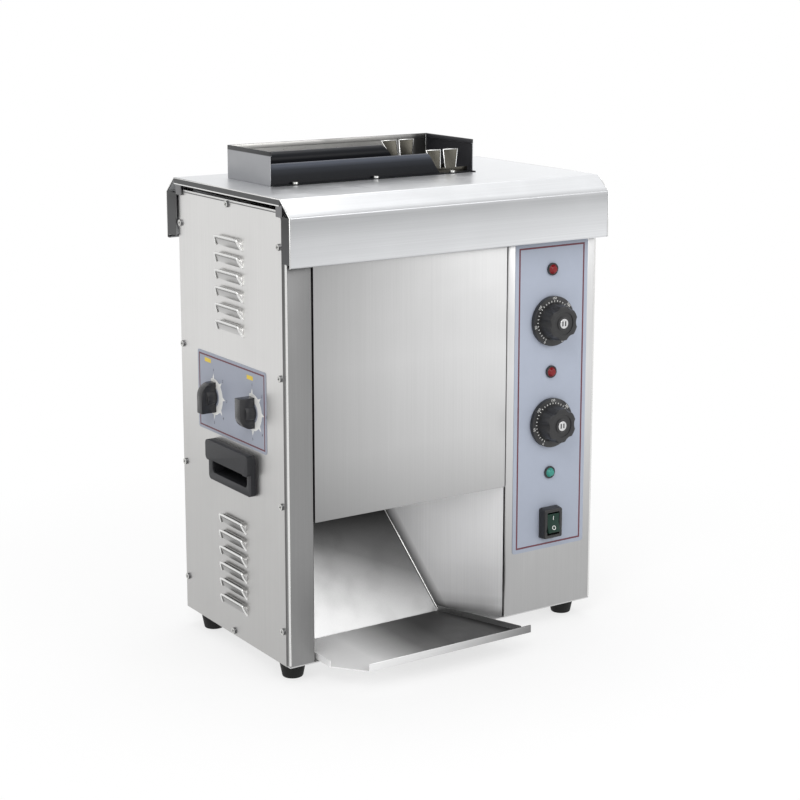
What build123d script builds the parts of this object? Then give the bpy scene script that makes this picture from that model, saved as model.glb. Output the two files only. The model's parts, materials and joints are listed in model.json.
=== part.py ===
"""Vertical conveyor bun toaster.

A sheet steel case on four feet holds a heated centre platen between two moving belts. Buns go in
through the chute on the lid, ride down both sides of the platen and slide out onto the landing tray.
Millimetres, +X to the operator's right, +Y to the back, +Z up. The origin is on the floor, in the
middle of the whole footprint.
"""

import os
from math import acos, atan2, cos, pi, radians, sin, tan

from build123d import *

os.makedirs("parts", exist_ok=True)

# Shared fits
slip = 0.3
running = 0.05
overrun = 2.0

# Case
case_width = 400.0
case_depth = 231.0
case_height = 478.0
sheet = 1.2
wall_sheet = 1.5
bend_radius = 2.0
return_depth = 20.0
post_width = 31.5
column_width = 122.0
pan_flange = 12.0

# Feet
foot_height = 20.0
foot_diameter = 30.0
foot_tip_diameter = 22.0
foot_inset_x = 20.0
foot_inset_y = 27.5
foot_stem_diameter = 8.0
foot_stem_height = 4.0

# Lid
lid_rise = 12.0
lid_side_overhang = 3.0
lid_front_overhang = 15.6
lid_rear_overhang = 21.8
lid_chamfer_run = 18.5
lid_chamfer_drop = 17.0
lid_skirt = 51.0
lid_hem = 7.0
lid_lip = 6.0
lid_cheek_lift = 4.0
lid_bend = 2.2

# Top frame
rail_height = 11.0
rail_depth = 12.0
peg_height = 11.8
peg_depth = 9.0

# Front cover
cover_bottom = 152.0
cover_gap = 1.5
cover_return = 10.0
cover_lift = 6.5
hook_drop = 6.0

# Side covers and their screws
cover_front_inset = 6.0
cover_back_inset = 1.0
cover_base_inset = 0.5
cover_corner_radius = 12.0
screw_inset = 5.0
screw_row_height = 37.5
screw_row_drop = 37.0
screw_rows = 4
screw_head_diameter = 7.0
screw_head_height = 2.2
screw_head_round = 1.6
screw_shank_diameter = 3.5
screw_shank_length = 4.0

# Louvers in the side covers
louver_length = 56.0
louver_height = 11.0
louver_proud = 4.5
louver_lip = 2.0
louver_end_slope = 4.0
louver_corner = 9.0
louver_lip_corner = 1.6
louver_mouth_inset = 5.0
louver_mouth_corner = 1.0
louver_pitch = 18.2
upper_louver_drop = 45.0
upper_louver_gap = 34.0
lower_louver_gap = 41.0
lower_louver_margin = 36.0

# Side handles
handle_width = 94.0
handle_height = 45.0
handle_proud = 10.0
handle_frame_proud = 6.0
handle_depth = 20.0
handle_border = 6.0
handle_wall = 2.5
handle_mouth_height = 15.0
handle_corner_radius = 5.0
handle_front_share = 0.485714
handle_gap = 6.0

# Side overlay and its pointer knobs
overlay_sheet = 0.5
overlay_corner_radius = 3.0
side_overlay_width = 150.0
side_overlay_height = 87.0
side_overlay_rise = 3.5
front_knob_share = 0.3057
rear_knob_share = 0.261
gap_knob_lift = 260.0
gap_knob_diameter = 33.0
gap_knob_height = 17.5
gap_knob_hub_diameter = 18.0
gap_knob_hub_height = 11.5
gap_knob_grip_width = 11.0
gap_knob_round = 14.0
gap_shaft_diameter = 8.0
gap_shaft_bite = 9.0

# Cams that move the pressure plates
cam_travel = 8.0
cam_sweep = 180.0
cam_near_radius = 12.0
cam_rim = 3.0
cam_thickness = 4.0
cam_from_cover = 9.0
cam_steps = 12
cam_pin_diameter = 5.0
cam_pin_gap = 0.35
link_thickness = 3.0
link_width = 10.0
link_pin_diameter = 6.0
link_pin_spacing = 50.0
link_pin_rise = 10.0
shaft_end = 1.0

# Control overlay and what sits in it
control_overlay_width = 100.0
control_overlay_height = 349.0
control_overlay_lift = 71.5
control_pitch = 57.6
control_top_lift = 390.0
lamp_diameter = 13.0
lamp_bezel = 2.0
lamp_dome = 3.5
lamp_lens_diameter = 10.5
lamp_hole_diameter = 10.0
lamp_length = 26.0
heat_knob_diameter = 55.5
heat_knob_skirt = 5.0
heat_knob_grip_diameter = 42.0
heat_knob_tip_diameter = 38.0
heat_knob_grip_height = 17.0
heat_knob_lobes = 6
heat_knob_lobe_offset = 27.0
heat_knob_lobe_diameter = 13.0
heat_knob_lobe_flare = 12.0
heat_knob_ring_diameter = 26.0
heat_knob_cap_diameter = 16.0
heat_knob_ring_depth = 1.0
heat_spindle_diameter = 6.0
heat_spindle_length = 20.0
thermostat_width = 40.0
thermostat_height = 36.0
thermostat_depth = 28.0
thermostat_neck_diameter = 10.0
switch_width = 27.0
switch_height = 36.0
switch_rim = 3.5
switch_bezel_proud = 10.0
switch_bezel_taper = 8.0
switch_seat = 4.0
switch_body_depth = 28.0
switch_body_wall = 1.5
switch_corner_radius = 3.0
rocker_tilt = 8.0
rocker_proud = 1.0
rocker_depth = 9.0
rocker_pin_diameter = 3.0

# Feed chute on the lid
chute_from_left = 43.0
chute_front_share = 0.443723
chute_width = 261.0
chute_depth_share = 0.402597
chute_height = 36.0
chute_rim_height = 5.0
chute_rim_thickness = 2.4
feed_margin = 6.0

# Feed guides
guide_sheet = 1.2
front_guide_height = 22.5
front_guide_base = 11.0
front_guide_lean = 3.0
front_guide_round = 3.5
front_guide_foot = 7.0
front_guide_skirt_drop = 30.0
front_guide_end = 259.0
centre_guide_height = 31.0
guide_end_slope = 13.0
guide_overlap = 10.0
guide_screw_first = 71.0
guide_screw_pitch = 101.0
guide_screw_count = 3
front_tab_height = 26.0
tab_width = 20.0
tab_foot_width = 13.0
tab_gap = 3.5
tab_strip = 5.0
centre_guide_end = 234.0
centre_guide_end_slope = 24.0

# Platen, its heaters and release sheets
platen_share = 0.642857
platen_thickness = 14.0
platen_bottom = 212.0
platen_top_rise = 17.0
release_sheet = 0.5
platen_heater_diameter = 8.0
platen_heater_count = 3
platen_heater_pitch = 60.0
heater_tail = 14.0
platen_bolt_diameter = 5.0
platen_bolt_head_diameter = 9.0
platen_bolt_head_height = 4.0
platen_bolt_bite = 12.0
platen_bolt_inset = 40.0

# Conveyors
roller_offset_share = 0.233766
roller_diameter = 34.0
roller_shaft_diameter = 10.0
drive_roller_lift = 205.0
idler_drop = 33.0
belt_sheet = 1.2
belt_inset = 11.0
bush_diameter = 14.0
bush_flange_diameter = 20.0
bush_flange = 2.0
bush_nose = 4.0

# Pressure plates behind the belts
plate_sheet = 3.0
plate_gap = 0.5
plate_margin = 13.0
plate_cheek = 10.0
plate_pin_diameter = 6.0

# Radiant heaters inside the belts
radiant_diameter = 7.0
radiant_bend = 20.0
radiant_leg_spacing = 120.0
radiant_offset = 8.5

# Gear train and gear motor
gear_teeth = 18
gear_width = 8.0
gear_backlash = 0.3
gear_side_gap = 1.0
pressure_angle = 20.0
flank_steps = 5
motor_shaft_diameter = 8.0
motor_shaft_bite = 14.0
gearbox_size = 62.0
gearbox_depth = 28.0
motor_diameter = 46.0
motor_length = 44.0
motor_corner_radius = 5.0
standoff_diameter = 9.0
standoff_spread = 50.0
standoff_length = 15.5
stud_head_diameter = 12.0
stud_head_height = 2.0

# Discharge ramp, deflector and landing tray
ramp_foot_share = 0.251082
ramp_knee_share = 0.467532
ramp_knee_lift = 117.0
ramp_end_share = 0.805195
ramp_end_lift = 160.0
deflector_share = 0.857143
deflector_run = 0.826
shed_gap = 16.6
shed_rise_share = 0.18
tray_reach = 56.5
tray_lip = 8.5
tray_back_gap = 3.0
tray_side_gap = 4.0
tray_flange = 7.0
tray_corner_run = 27.0
tray_corner_depth = 34.0
tray_right_inset = 6.0
tray_tab_width = 8.0
tray_tab_depth = 7.0

# Rear panel, cable gland and terminal block
gland_from_right = 50.0
gland_lift = 42.0
gland_diameter = 22.0
gland_nut_width = 27.0
gland_nut_height = 6.0
gland_reach = 19.0
gland_bore = 10.0
gland_thread_diameter = 19.0
gland_tail = 10.0
terminal_width = 72.0
terminal_height = 22.0
terminal_depth = 17.0
terminal_ways = 6
terminal_groove_share = 0.45
terminal_lift = 120.0
vent_count = 7
vent_length = 90.0
vent_width = 5.0
vent_pitch = 13.0
vent_lift = 330.0

# Main planes of the case
left_reach = overlay_sheet + slip + gap_knob_height
right_reach = max(handle_proud, lid_side_overhang)
rear_reach = max(lid_rear_overhang, gland_reach)
left_x = (left_reach - right_reach - case_width) / 2
right_x = left_x + case_width
case_x = (left_x + right_x) / 2
front_y = (tray_reach - rear_reach - case_depth) / 2
back_y = front_y + case_depth
mid_y = (front_y + back_y) / 2
base_z = foot_height
pan_z = base_z + sheet
cover_top_z = base_z + case_height
lid_top_z = cover_top_z + lid_rise
rail_top_z = lid_top_z - sheet - peg_height
rail_bottom_z = rail_top_z - rail_height
inner_left_x = left_x + sheet
inner_right_x = right_x - sheet
post_right_x = left_x + post_width
column_left_x = right_x - column_width
chamber_left_x = post_right_x - sheet
chamber_right_x = column_left_x + sheet
wall_left_x = chamber_left_x - wall_sheet
wall_right_x = chamber_right_x + wall_sheet
wall_front_y = front_y + sheet + slip
wall_back_y = back_y - sheet

# Conveyor planes
gear_steps = 3
roller_offset = roller_offset_share * case_depth
gear_pitch_diameter = 2 * roller_offset / gear_steps
gear_module = gear_pitch_diameter / gear_teeth
platen_y = front_y + platen_share * case_depth
front_roller_y = platen_y - roller_offset
rear_roller_y = platen_y + roller_offset
drive_z = base_z + drive_roller_lift
idler_z = rail_bottom_z - idler_drop
platen_bottom_z = base_z + platen_bottom
platen_top_z = idler_z + platen_top_rise
belt_left_x = chamber_left_x + belt_inset
belt_right_x = chamber_right_x - belt_inset
belt_inner_radius = roller_diameter / 2 + slip
belt_radius = belt_inner_radius + belt_sheet
gear_left_x = wall_right_x + bush_flange + gear_side_gap
gear_right_x = gear_left_x + gear_width
gear_ys = [front_roller_y + i * gear_pitch_diameter for i in range(gear_steps + 1)]
motor_y = gear_ys[1]
idler_gear_y = gear_ys[2]
gearbox_x = wall_right_x + standoff_length
standoff_places = [(motor_y + i * standoff_spread / 2, drive_z + j * standoff_spread / 2)
                   for i in (-1, 1) for j in (-1, 1)]
plate_bottom_z = drive_z + belt_radius + plate_margin
plate_top_z = idler_z - belt_radius - plate_margin
plate_mid_z = (plate_bottom_z + plate_top_z) / 2
plate_offset = belt_inner_radius - plate_gap - plate_sheet / 2
front_plate_y = front_roller_y + plate_offset
rear_plate_y = rear_roller_y - plate_offset
front_pin_y = front_plate_y - (plate_sheet + plate_cheek) / 2
rear_pin_y = rear_plate_y + (plate_sheet + plate_cheek) / 2
platen_mid_z = (platen_bottom_z + platen_top_z) / 2
platen_heater_zs = [platen_mid_z + (i - (platen_heater_count - 1) / 2) * platen_heater_pitch
                    for i in range(platen_heater_count)]
platen_bolt_zs = [platen_bottom_z + platen_bolt_inset, platen_top_z - platen_bolt_inset]
radiant_zs = [plate_mid_z - radiant_leg_spacing / 2, plate_mid_z + radiant_leg_spacing / 2]
front_radiant_y = front_roller_y - radiant_offset
rear_radiant_y = rear_roller_y + radiant_offset

# Adjusting knobs, cams and links
gap_knob_z = base_z + gap_knob_lift
front_knob_y = mid_y - front_knob_share * side_overlay_width
rear_knob_y = mid_y + rear_knob_share * side_overlay_width
side_overlay_z = gap_knob_z + side_overlay_rise
side_overlay_top_z = side_overlay_z + side_overlay_height / 2
handle_z = side_overlay_z - (side_overlay_height + handle_height) / 2 - handle_gap
cam_far_radius = cam_near_radius + cam_travel
cam_radius = cam_far_radius + cam_pin_diameter / 2 + cam_pin_gap + cam_rim
cam_left_x = left_x + cam_from_cover
cam_right_x = cam_left_x + cam_thickness
link_left_x = cam_right_x + slip
link_right_x = link_left_x + link_thickness
link_mid_z = gap_knob_z + link_pin_rise
link_pin_zs = [link_mid_z - link_pin_spacing / 2, link_mid_z + link_pin_spacing / 2]

# Control places
control_x = right_x - column_width / 2 - (sheet + cover_gap) / 2
control_zs = [base_z + control_top_lift - i * control_pitch for i in range(6)]
upper_lamp_z, upper_knob_z, lower_lamp_z, lower_knob_z, green_lamp_z, switch_z = control_zs
overlay_front_y = front_y - overlay_sheet

# Feed places
chute_left_x = left_x + chute_from_left
chute_right_x = chute_left_x + chute_width
chute_depth = chute_depth_share * case_depth
chute_front_y = front_y + chute_front_share * case_depth
chute_back_y = chute_front_y + chute_depth
chute_top_z = lid_top_z + chute_height
guide_left_x = chute_left_x + sheet
front_guide_right_x = left_x + front_guide_end
front_guide_back_y = chute_front_y + front_guide_base
centre_guide_half = platen_thickness / 2 + release_sheet + slip + guide_sheet
centre_guide_right_x = left_x + centre_guide_end
feed_left_x = guide_left_x + feed_margin
feed_right_x = chamber_right_x - feed_margin
feed_front_y = front_guide_back_y - guide_sheet - slip
feed_back_y = chute_back_y - sheet - feed_margin
guide_screw_y = chute_front_y - front_guide_foot / 2
guide_screw_places = [(left_x + guide_screw_first + i * guide_screw_pitch, guide_screw_y)
                      for i in range(guide_screw_count)]

# Fastener, foot and louver places
foot_places = [(x, y) for x in (left_x + foot_inset_x, right_x - foot_inset_x)
               for y in (front_y + foot_inset_y, back_y - foot_inset_y)]
cover_front_y = front_y + cover_front_inset
cover_back_y = back_y - cover_back_inset
cover_base_z = base_z + cover_base_inset
cover_mid_y = (cover_front_y + cover_back_y) / 2
screw_row_pitch = (case_height - screw_row_height - screw_row_drop) / (screw_rows - 1)
screw_zs = [base_z + screw_row_height + i * screw_row_pitch for i in range(screw_rows)]
screw_places = [(y, z) for y in (cover_front_y + screw_inset, cover_back_y - screw_inset) for z in screw_zs]
screw_places += [(cover_mid_y, cover_top_z - screw_inset), (cover_mid_y, cover_base_z + screw_inset)]
louver_banks = [(cover_top_z - upper_louver_drop, side_overlay_top_z + upper_louver_gap),
                (handle_z - handle_height / 2 - lower_louver_gap, base_z + lower_louver_margin)]
louver_places = [(mid_y, top_z - i * louver_pitch)
                 for top_z, end_z in louver_banks for i in range(int((top_z - end_z) / louver_pitch) + 1)]


def level(z):
    """A horizontal plane at height z."""
    return Plane.XY.offset(z)


def facing(y):
    """An upright plane at depth y that looks to the front, with x to the right and y up."""
    return Plane.XZ.offset(-y)


def across(x):
    """An upright plane at x that looks to the right, with x to the back and y up."""
    return Plane.YZ.offset(x)


def outward(x, side):
    """A side face at x that looks left (side -1) or right (side 1); its x axis is side times +Y."""
    return Plane(origin=(x, 0, 0), x_dir=(0, side, 0), z_dir=(side, 0, 0))


def slab(xs, ys, zs, mode=Mode.ADD):
    """A block between two places along each axis, in the part being built."""
    with Locations(((xs[0] + xs[1]) / 2, (ys[0] + ys[1]) / 2, (zs[0] + zs[1]) / 2)):
        Box(xs[1] - xs[0], ys[1] - ys[0], zs[1] - zs[0], mode=mode)


def rod(radius, x0, x1, places, mode=Mode.ADD):
    """Round bars along X between x0 and x1, at each (y, z) place, in the part being built."""
    with Locations(*[((x0 + x1) / 2, y, z) for y, z in places]):
        Cylinder(radius, abs(x1 - x0), rotation=(0, 90, 0), mode=mode)


def screw_holes(x0, x1):
    """Holes for the side cover screws between x0 and x1, in the part being built."""
    rod(screw_shank_diameter / 2 + running, x0, x1, screw_places, mode=Mode.SUBTRACT)


# Base pan with side flanges between the corner returns
with BuildPart() as base_pan:
    slab((inner_left_x, inner_right_x), (front_y, back_y), (base_z, pan_z))
    flange_ys = (front_y + return_depth + slip, back_y - return_depth - slip)
    slab((inner_left_x, inner_left_x + sheet), flange_ys, (pan_z, pan_z + pan_flange))
    slab((inner_right_x - sheet, inner_right_x), flange_ys, (pan_z, pan_z + pan_flange))
    with BuildSketch(level(base_z)):
        with Locations(*foot_places):
            Circle(foot_stem_diameter / 2)
    extrude(amount=sheet, mode=Mode.SUBTRACT)
    screw_holes(inner_left_x, left_x + screw_shank_length + overrun)
    screw_holes(right_x - screw_shank_length - overrun, inner_right_x)
base_pan.part.label = "base_pan"
export_step(base_pan.part, "parts/base_pan.step")

# Four rubber feet with stems through the pan
with BuildPart() as feet:
    with Locations(*[(x, y, foot_height / 2) for x, y in foot_places]):
        Cone(foot_tip_diameter / 2, foot_diameter / 2, foot_height)
    stem_top_z = pan_z + foot_stem_height
    with Locations(*[(x, y, (foot_height + stem_top_z) / 2) for x, y in foot_places]):
        Cylinder(foot_stem_diameter / 2 - running, stem_top_z - foot_height)
feet.part.label = "feet"
export_step(feet.part, "parts/feet.step")

# Left front post, a channel that opens to the back
with BuildPart() as left_front_post:
    with BuildSketch(level(pan_z)):
        with Locations(((inner_left_x + post_right_x) / 2, front_y + return_depth / 2)):
            Rectangle(post_right_x - inner_left_x, return_depth)
        with Locations(((inner_left_x + post_right_x) / 2, front_y + sheet + return_depth / 2)):
            Rectangle(post_right_x - inner_left_x - 2 * sheet, return_depth, mode=Mode.SUBTRACT)
    extrude(amount=rail_bottom_z - pan_z)
    fillet(left_front_post.edges().filter_by(Axis.Z).group_by(Axis.Y)[0], radius=bend_radius)
    screw_holes(inner_left_x, left_x + screw_shank_length + overrun)
left_front_post.part.label = "left_front_post"
export_step(left_front_post.part, "parts/left_front_post.step")

# Control column, with holes for lamps, thermostats and switch
switch_hole_width = switch_width - 2 * switch_rim
switch_hole_height = switch_height - 2 * switch_rim
lamp_zs = (upper_lamp_z, lower_lamp_z, green_lamp_z)
knob_zs = (upper_knob_z, lower_knob_z)
with BuildPart() as control_column:
    with BuildSketch(level(pan_z)):
        with Locations(((column_left_x + inner_right_x) / 2, front_y + return_depth / 2)):
            Rectangle(inner_right_x - column_left_x, return_depth)
        with Locations(((column_left_x + inner_right_x) / 2, front_y + sheet + return_depth / 2)):
            Rectangle(inner_right_x - column_left_x - 2 * sheet, return_depth, mode=Mode.SUBTRACT)
    extrude(amount=rail_bottom_z - pan_z)
    fillet(control_column.edges().filter_by(Axis.Z).group_by(Axis.Y)[0], radius=bend_radius)
    with BuildSketch(facing(front_y)):
        with Locations(*[(control_x, z) for z in lamp_zs]):
            Circle(lamp_hole_diameter / 2)
        with Locations(*[(control_x, z) for z in knob_zs]):
            Circle(thermostat_neck_diameter / 2)
        with Locations((control_x, switch_z)):
            Rectangle(switch_hole_width, switch_hole_height)
    extrude(amount=-sheet, mode=Mode.SUBTRACT)
    screw_holes(right_x - screw_shank_length - overrun, inner_right_x)
control_column.part.label = "control_column"
export_step(control_column.part, "parts/control_column.step")

# Rear panel with forward returns, vents and the gland hole
gland_x = right_x - gland_from_right
gland_z = base_z + gland_lift
with BuildPart() as rear_panel:
    with BuildSketch(level(pan_z)):
        with Locations((case_x, back_y - return_depth / 2)):
            Rectangle(inner_right_x - inner_left_x, return_depth)
        with Locations((case_x, back_y - sheet - return_depth / 2)):
            Rectangle(inner_right_x - inner_left_x - 2 * sheet, return_depth, mode=Mode.SUBTRACT)
    extrude(amount=rail_bottom_z - pan_z)
    fillet(rear_panel.edges().filter_by(Axis.Z).group_by(Axis.Y)[-1], radius=bend_radius)
    with BuildSketch(facing(back_y)):
        with Locations((gland_x, gland_z)):
            Circle(gland_thread_diameter / 2 + running)
        with Locations(*[(gland_x - vent_length / 2, base_z + vent_lift + i * vent_pitch)
                         for i in range(vent_count)]):
            SlotOverall(vent_length, vent_width)
    extrude(amount=sheet, mode=Mode.SUBTRACT)
    screw_holes(inner_left_x, left_x + screw_shank_length + overrun)
    screw_holes(right_x - screw_shank_length - overrun, inner_right_x)
rear_panel.part.label = "rear_panel"
export_step(rear_panel.part, "parts/rear_panel.step")

# One pressed louver hood on the left side cover, open along its top, and its hollow
with BuildPart() as louver_hood:
    with BuildSketch(Plane.XY) as hood_foot:
        Rectangle(louver_length, louver_height)
        fillet(hood_foot.vertices().group_by(Axis.Y)[-1], radius=louver_corner)
    with BuildSketch(level(louver_proud)) as hood_lip:
        with Locations((0, (louver_height - louver_lip) / 2)):
            Rectangle(louver_length - 2 * louver_end_slope, louver_lip)
        fillet(hood_lip.vertices().group_by(Axis.Y)[-1], radius=louver_lip_corner)
    loft(ruled=True)
louver_mouth_length = louver_length - 2 * (louver_end_slope + sheet + louver_mouth_inset)
with BuildPart() as louver_hollow:
    with BuildSketch(level(-sheet)) as hollow_foot:
        Rectangle(louver_length - 2 * sheet, louver_height - 2 * sheet)
        fillet(hollow_foot.vertices().group_by(Axis.Y)[-1], radius=louver_corner - sheet)
    with BuildSketch(level(louver_proud - sheet)) as hollow_mouth:
        with Locations((0, louver_height / 2)):
            Rectangle(louver_mouth_length, louver_lip)
        fillet(hollow_mouth.vertices().group_by(Axis.Y)[-1], radius=louver_mouth_corner)
    loft(ruled=True)


def side_cover(side, shaft_places):
    """A screwed side cover: side is -1 for the left and 1 for the right."""
    face_x = left_x if side < 0 else right_x
    face = outward(face_x, side)
    with BuildPart() as cover:
        with BuildSketch(face) as outline:
            with Locations((side * cover_mid_y, (cover_base_z + cover_top_z) / 2)):
                Rectangle(cover_back_y - cover_front_y, cover_top_z - cover_base_z)
            fillet(outline.vertices().group_by(Axis.Y)[-1], radius=cover_corner_radius)
            with Locations(*[(side * y, z) for y, z in screw_places]):
                Circle(screw_shank_diameter / 2 + running, mode=Mode.SUBTRACT)
            with Locations((side * handle_y, handle_z)):
                Rectangle(handle_cup_width + 2 * slip, handle_cup_height + 2 * slip, mode=Mode.SUBTRACT)
            if shaft_places:
                with Locations(*[(side * y, z) for y, z in shaft_places]):
                    Circle(gap_shaft_diameter / 2 + running, mode=Mode.SUBTRACT)
        extrude(amount=-sheet)
        with Locations(*[face.location * Pos(side * y, z) for y, z in louver_places]):
            add(louver_hood.part)
        with Locations(*[face.location * Pos(side * y, z) for y, z in louver_places]):
            add(louver_hollow.part, mode=Mode.SUBTRACT)
    return cover


handle_y = front_y + handle_front_share * case_depth
handle_cup_width = handle_width - 2 * handle_border
handle_cup_height = handle_height - 2 * handle_border
handle_room_width = handle_cup_width - 2 * handle_wall
knob_places = [(front_knob_y, gap_knob_z), (rear_knob_y, gap_knob_z)]
left_side_cover = side_cover(-1, knob_places)
left_side_cover.part.label = "left_side_cover"
export_step(left_side_cover.part, "parts/left_side_cover.step")
right_side_cover = side_cover(1, [])
right_side_cover.part.label = "right_side_cover"
export_step(right_side_cover.part, "parts/right_side_cover.step")

# One pan head screw, head up, and the sets that hold the side covers
with BuildPart() as pan_screw:
    with Locations((0, 0, screw_head_height / 2)):
        Cylinder(screw_head_diameter / 2, screw_head_height)
    fillet(pan_screw.edges().group_by(Axis.Z)[-1], radius=screw_head_round)
    with Locations((0, 0, -screw_shank_length / 2)):
        Cylinder(screw_shank_diameter / 2, screw_shank_length)
with BuildPart() as side_cover_screws:
    for side, face_x in ((-1, left_x), (1, right_x)):
        with Locations(*[outward(face_x, side).location * Pos(side * y, z) for y, z in screw_places]):
            add(pan_screw.part)
side_cover_screws.part.label = "side_cover_screws"
export_step(side_cover_screws.part, "parts/side_cover_screws.step")

# Recessed pull handles, one in each side cover
with BuildPart() as side_handles:
    for side, face_x in ((-1, left_x), (1, right_x)):
        face = outward(face_x, side)
        upper_half = handle_height / 2
        with BuildSketch(face):
            with Locations((side * handle_y, handle_z)):
                RectangleRounded(handle_width, handle_height, handle_corner_radius)
        extrude(amount=handle_frame_proud)
        with BuildSketch(face):
            with Locations((side * handle_y, handle_z + upper_half / 2)):
                RectangleRounded(handle_width, upper_half, handle_corner_radius)
        extrude(amount=handle_proud)
        with BuildSketch(face):
            with Locations((side * handle_y, handle_z)):
                Rectangle(handle_cup_width, handle_cup_height)
        extrude(amount=-handle_depth)
        with BuildSketch(face.offset(-handle_depth + handle_wall)):
            with Locations((side * handle_y, handle_z)):
                Rectangle(handle_room_width, handle_cup_height - 2 * handle_wall)
        extrude(amount=handle_depth + handle_frame_proud - 2 * handle_wall, mode=Mode.SUBTRACT)
        mouth_z = handle_z - (handle_cup_height - handle_mouth_height) / 2 + handle_wall
        with BuildSketch(face):
            with Locations((side * handle_y, mouth_z)):
                RectangleRounded(handle_room_width, handle_mouth_height, handle_corner_radius)
        extrude(amount=handle_proud, mode=Mode.SUBTRACT)
side_handles.part.label = "side_handles"
export_step(side_handles.part, "parts/side_handles.step")

# Lid: a folded hood with front and rear wings, end hems, wing cheeks and the feed opening
lid_front_y = front_y - lid_front_overhang
lid_back_y = back_y + lid_rear_overhang
lid_shoulder_z = lid_top_z - lid_chamfer_drop
lid_base_z = lid_shoulder_z - lid_skirt
cheek_z = lid_base_z + lid_cheek_lift
lid_left_x = left_x - lid_side_overhang
lid_width = case_width + 2 * lid_side_overhang
lid_right_x = lid_left_x + lid_width
with BuildPart() as lid:
    with BuildSketch(across(lid_left_x)) as hood:
        with BuildLine():
            Polyline((lid_front_y, lid_base_z), (lid_front_y, lid_shoulder_z),
                     (lid_front_y + lid_chamfer_run, lid_top_z), (lid_back_y - lid_chamfer_run, lid_top_z),
                     (lid_back_y, lid_shoulder_z), (lid_back_y, lid_base_z), close=True)
        make_face()
        fillet(hood.vertices(), radius=lid_bend)
        offset(amount=-sheet, kind=Kind.INTERSECTION, mode=Mode.SUBTRACT)
        with Locations(((lid_front_y + lid_back_y) / 2, lid_base_z + sheet / 2)):
            Rectangle(lid_back_y - lid_front_y - 2 * lid_lip, sheet, mode=Mode.SUBTRACT)
    extrude(amount=lid_width)
    for end_x in (lid_left_x, lid_right_x - sheet):
        slab((end_x, end_x + sheet), (lid_front_y + lid_chamfer_run, lid_back_y - lid_chamfer_run),
             (lid_top_z - lid_hem, lid_top_z - sheet))
        for wing_y, case_y in ((lid_front_y, front_y - slip), (lid_back_y, back_y + slip)):
            inset = sheet if wing_y < case_y else -sheet
            with BuildSketch(across(end_x)):
                with BuildLine():
                    Polyline((wing_y + inset, cheek_z), (wing_y + inset, lid_shoulder_z),
                             (case_y, lid_shoulder_z), (case_y, cheek_z), close=True)
                make_face()
            extrude(amount=sheet)
    slab((feed_left_x, feed_right_x), (feed_front_y, feed_back_y), (lid_top_z - sheet, lid_top_z),
         mode=Mode.SUBTRACT)
    with BuildSketch(level(lid_top_z)):
        with Locations(*guide_screw_places):
            Circle(screw_shank_diameter / 2 + running)
    extrude(amount=-sheet, mode=Mode.SUBTRACT)
lid.part.label = "lid"
export_step(lid.part, "parts/lid.step")

# Top frame: a ring of rails on the posts, with corner pegs that carry the lid
rail_front_y = front_y + sheet + slip
with BuildPart() as top_frame:
    slab((inner_left_x, inner_right_x), (rail_front_y, back_y), (rail_bottom_z, rail_top_z))
    slab((inner_left_x + rail_depth, inner_right_x - rail_depth),
         (rail_front_y + rail_depth, back_y - rail_depth), (rail_bottom_z, rail_top_z), mode=Mode.SUBTRACT)
    for peg_x in (inner_left_x, inner_right_x - rail_depth):
        for peg_y in (rail_front_y + rail_depth - peg_depth, back_y - rail_depth):
            slab((peg_x, peg_x + rail_depth), (peg_y, peg_y + peg_depth),
                 (rail_top_z, rail_top_z + peg_height))
    screw_holes(inner_left_x, left_x + screw_shank_length + overrun)
    screw_holes(right_x - screw_shank_length - overrun, inner_right_x)
top_frame.part.label = "top_frame"
export_step(top_frame.part, "parts/top_frame.step")

# Front cover: hooks over the front rail and lifts off upwards
cover_left_x = post_right_x + cover_gap
cover_right_x = column_left_x - cover_gap
cover_bottom_z = base_z + cover_bottom
cover_hook_z = rail_top_z + slip
hook_back_y = rail_front_y + rail_depth + slip
with BuildPart() as front_cover:
    cover_xs = (cover_left_x, cover_right_x)
    return_ys = (front_y, front_y + cover_return)
    return_zs = (cover_bottom_z, rail_bottom_z - cover_lift - overrun)
    hook_top_z = cover_hook_z + sheet
    slab(cover_xs, (front_y, front_y + sheet), (cover_bottom_z, hook_top_z))
    slab((cover_left_x, cover_left_x + sheet), return_ys, return_zs)
    slab((cover_right_x - sheet, cover_right_x), return_ys, return_zs)
    slab(cover_xs, return_ys, (cover_bottom_z, cover_bottom_z + sheet))
    slab(cover_xs, (front_y, hook_back_y + sheet), (cover_hook_z, hook_top_z))
    slab(cover_xs, (hook_back_y, hook_back_y + sheet), (cover_hook_z - hook_drop, cover_hook_z))
front_cover.part.label = "front_cover"
export_step(front_cover.part, "parts/front_cover.step")

# Chamber walls: bush holes, heater holes, bolt holes and the slots that guide the pressure plates
bush_places = [(y, z) for y in (front_roller_y, rear_roller_y) for z in (drive_z, idler_z)]
platen_bolt_places = [(platen_y, z) for z in platen_bolt_zs]
platen_heater_places = [(platen_y, z) for z in platen_heater_zs]
radiant_places = [(y, z) for y in (front_radiant_y, rear_radiant_y) for z in radiant_zs]
plate_pin_places = [(front_pin_y - cam_travel / 2, z) for z in link_pin_zs]
plate_pin_places += [(rear_pin_y + cam_travel / 2, z) for z in link_pin_zs]


def chamber_wall(x0, x1, round_holes):
    """A chamber wall plate between x0 and x1; round_holes are (radius, places) pairs."""
    with BuildPart() as wall:
        slab((x0, x1), (wall_front_y, wall_back_y), (pan_z, rail_bottom_z))
        for radius, places in round_holes:
            rod(radius, x0, x1, places, mode=Mode.SUBTRACT)
        with BuildSketch(across(x0)):
            with Locations(*plate_pin_places):
                SlotOverall(cam_travel + link_pin_diameter + 4 * running, link_pin_diameter + 2 * running)
        extrude(amount=x1 - x0, mode=Mode.SUBTRACT)
    return wall


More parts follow.
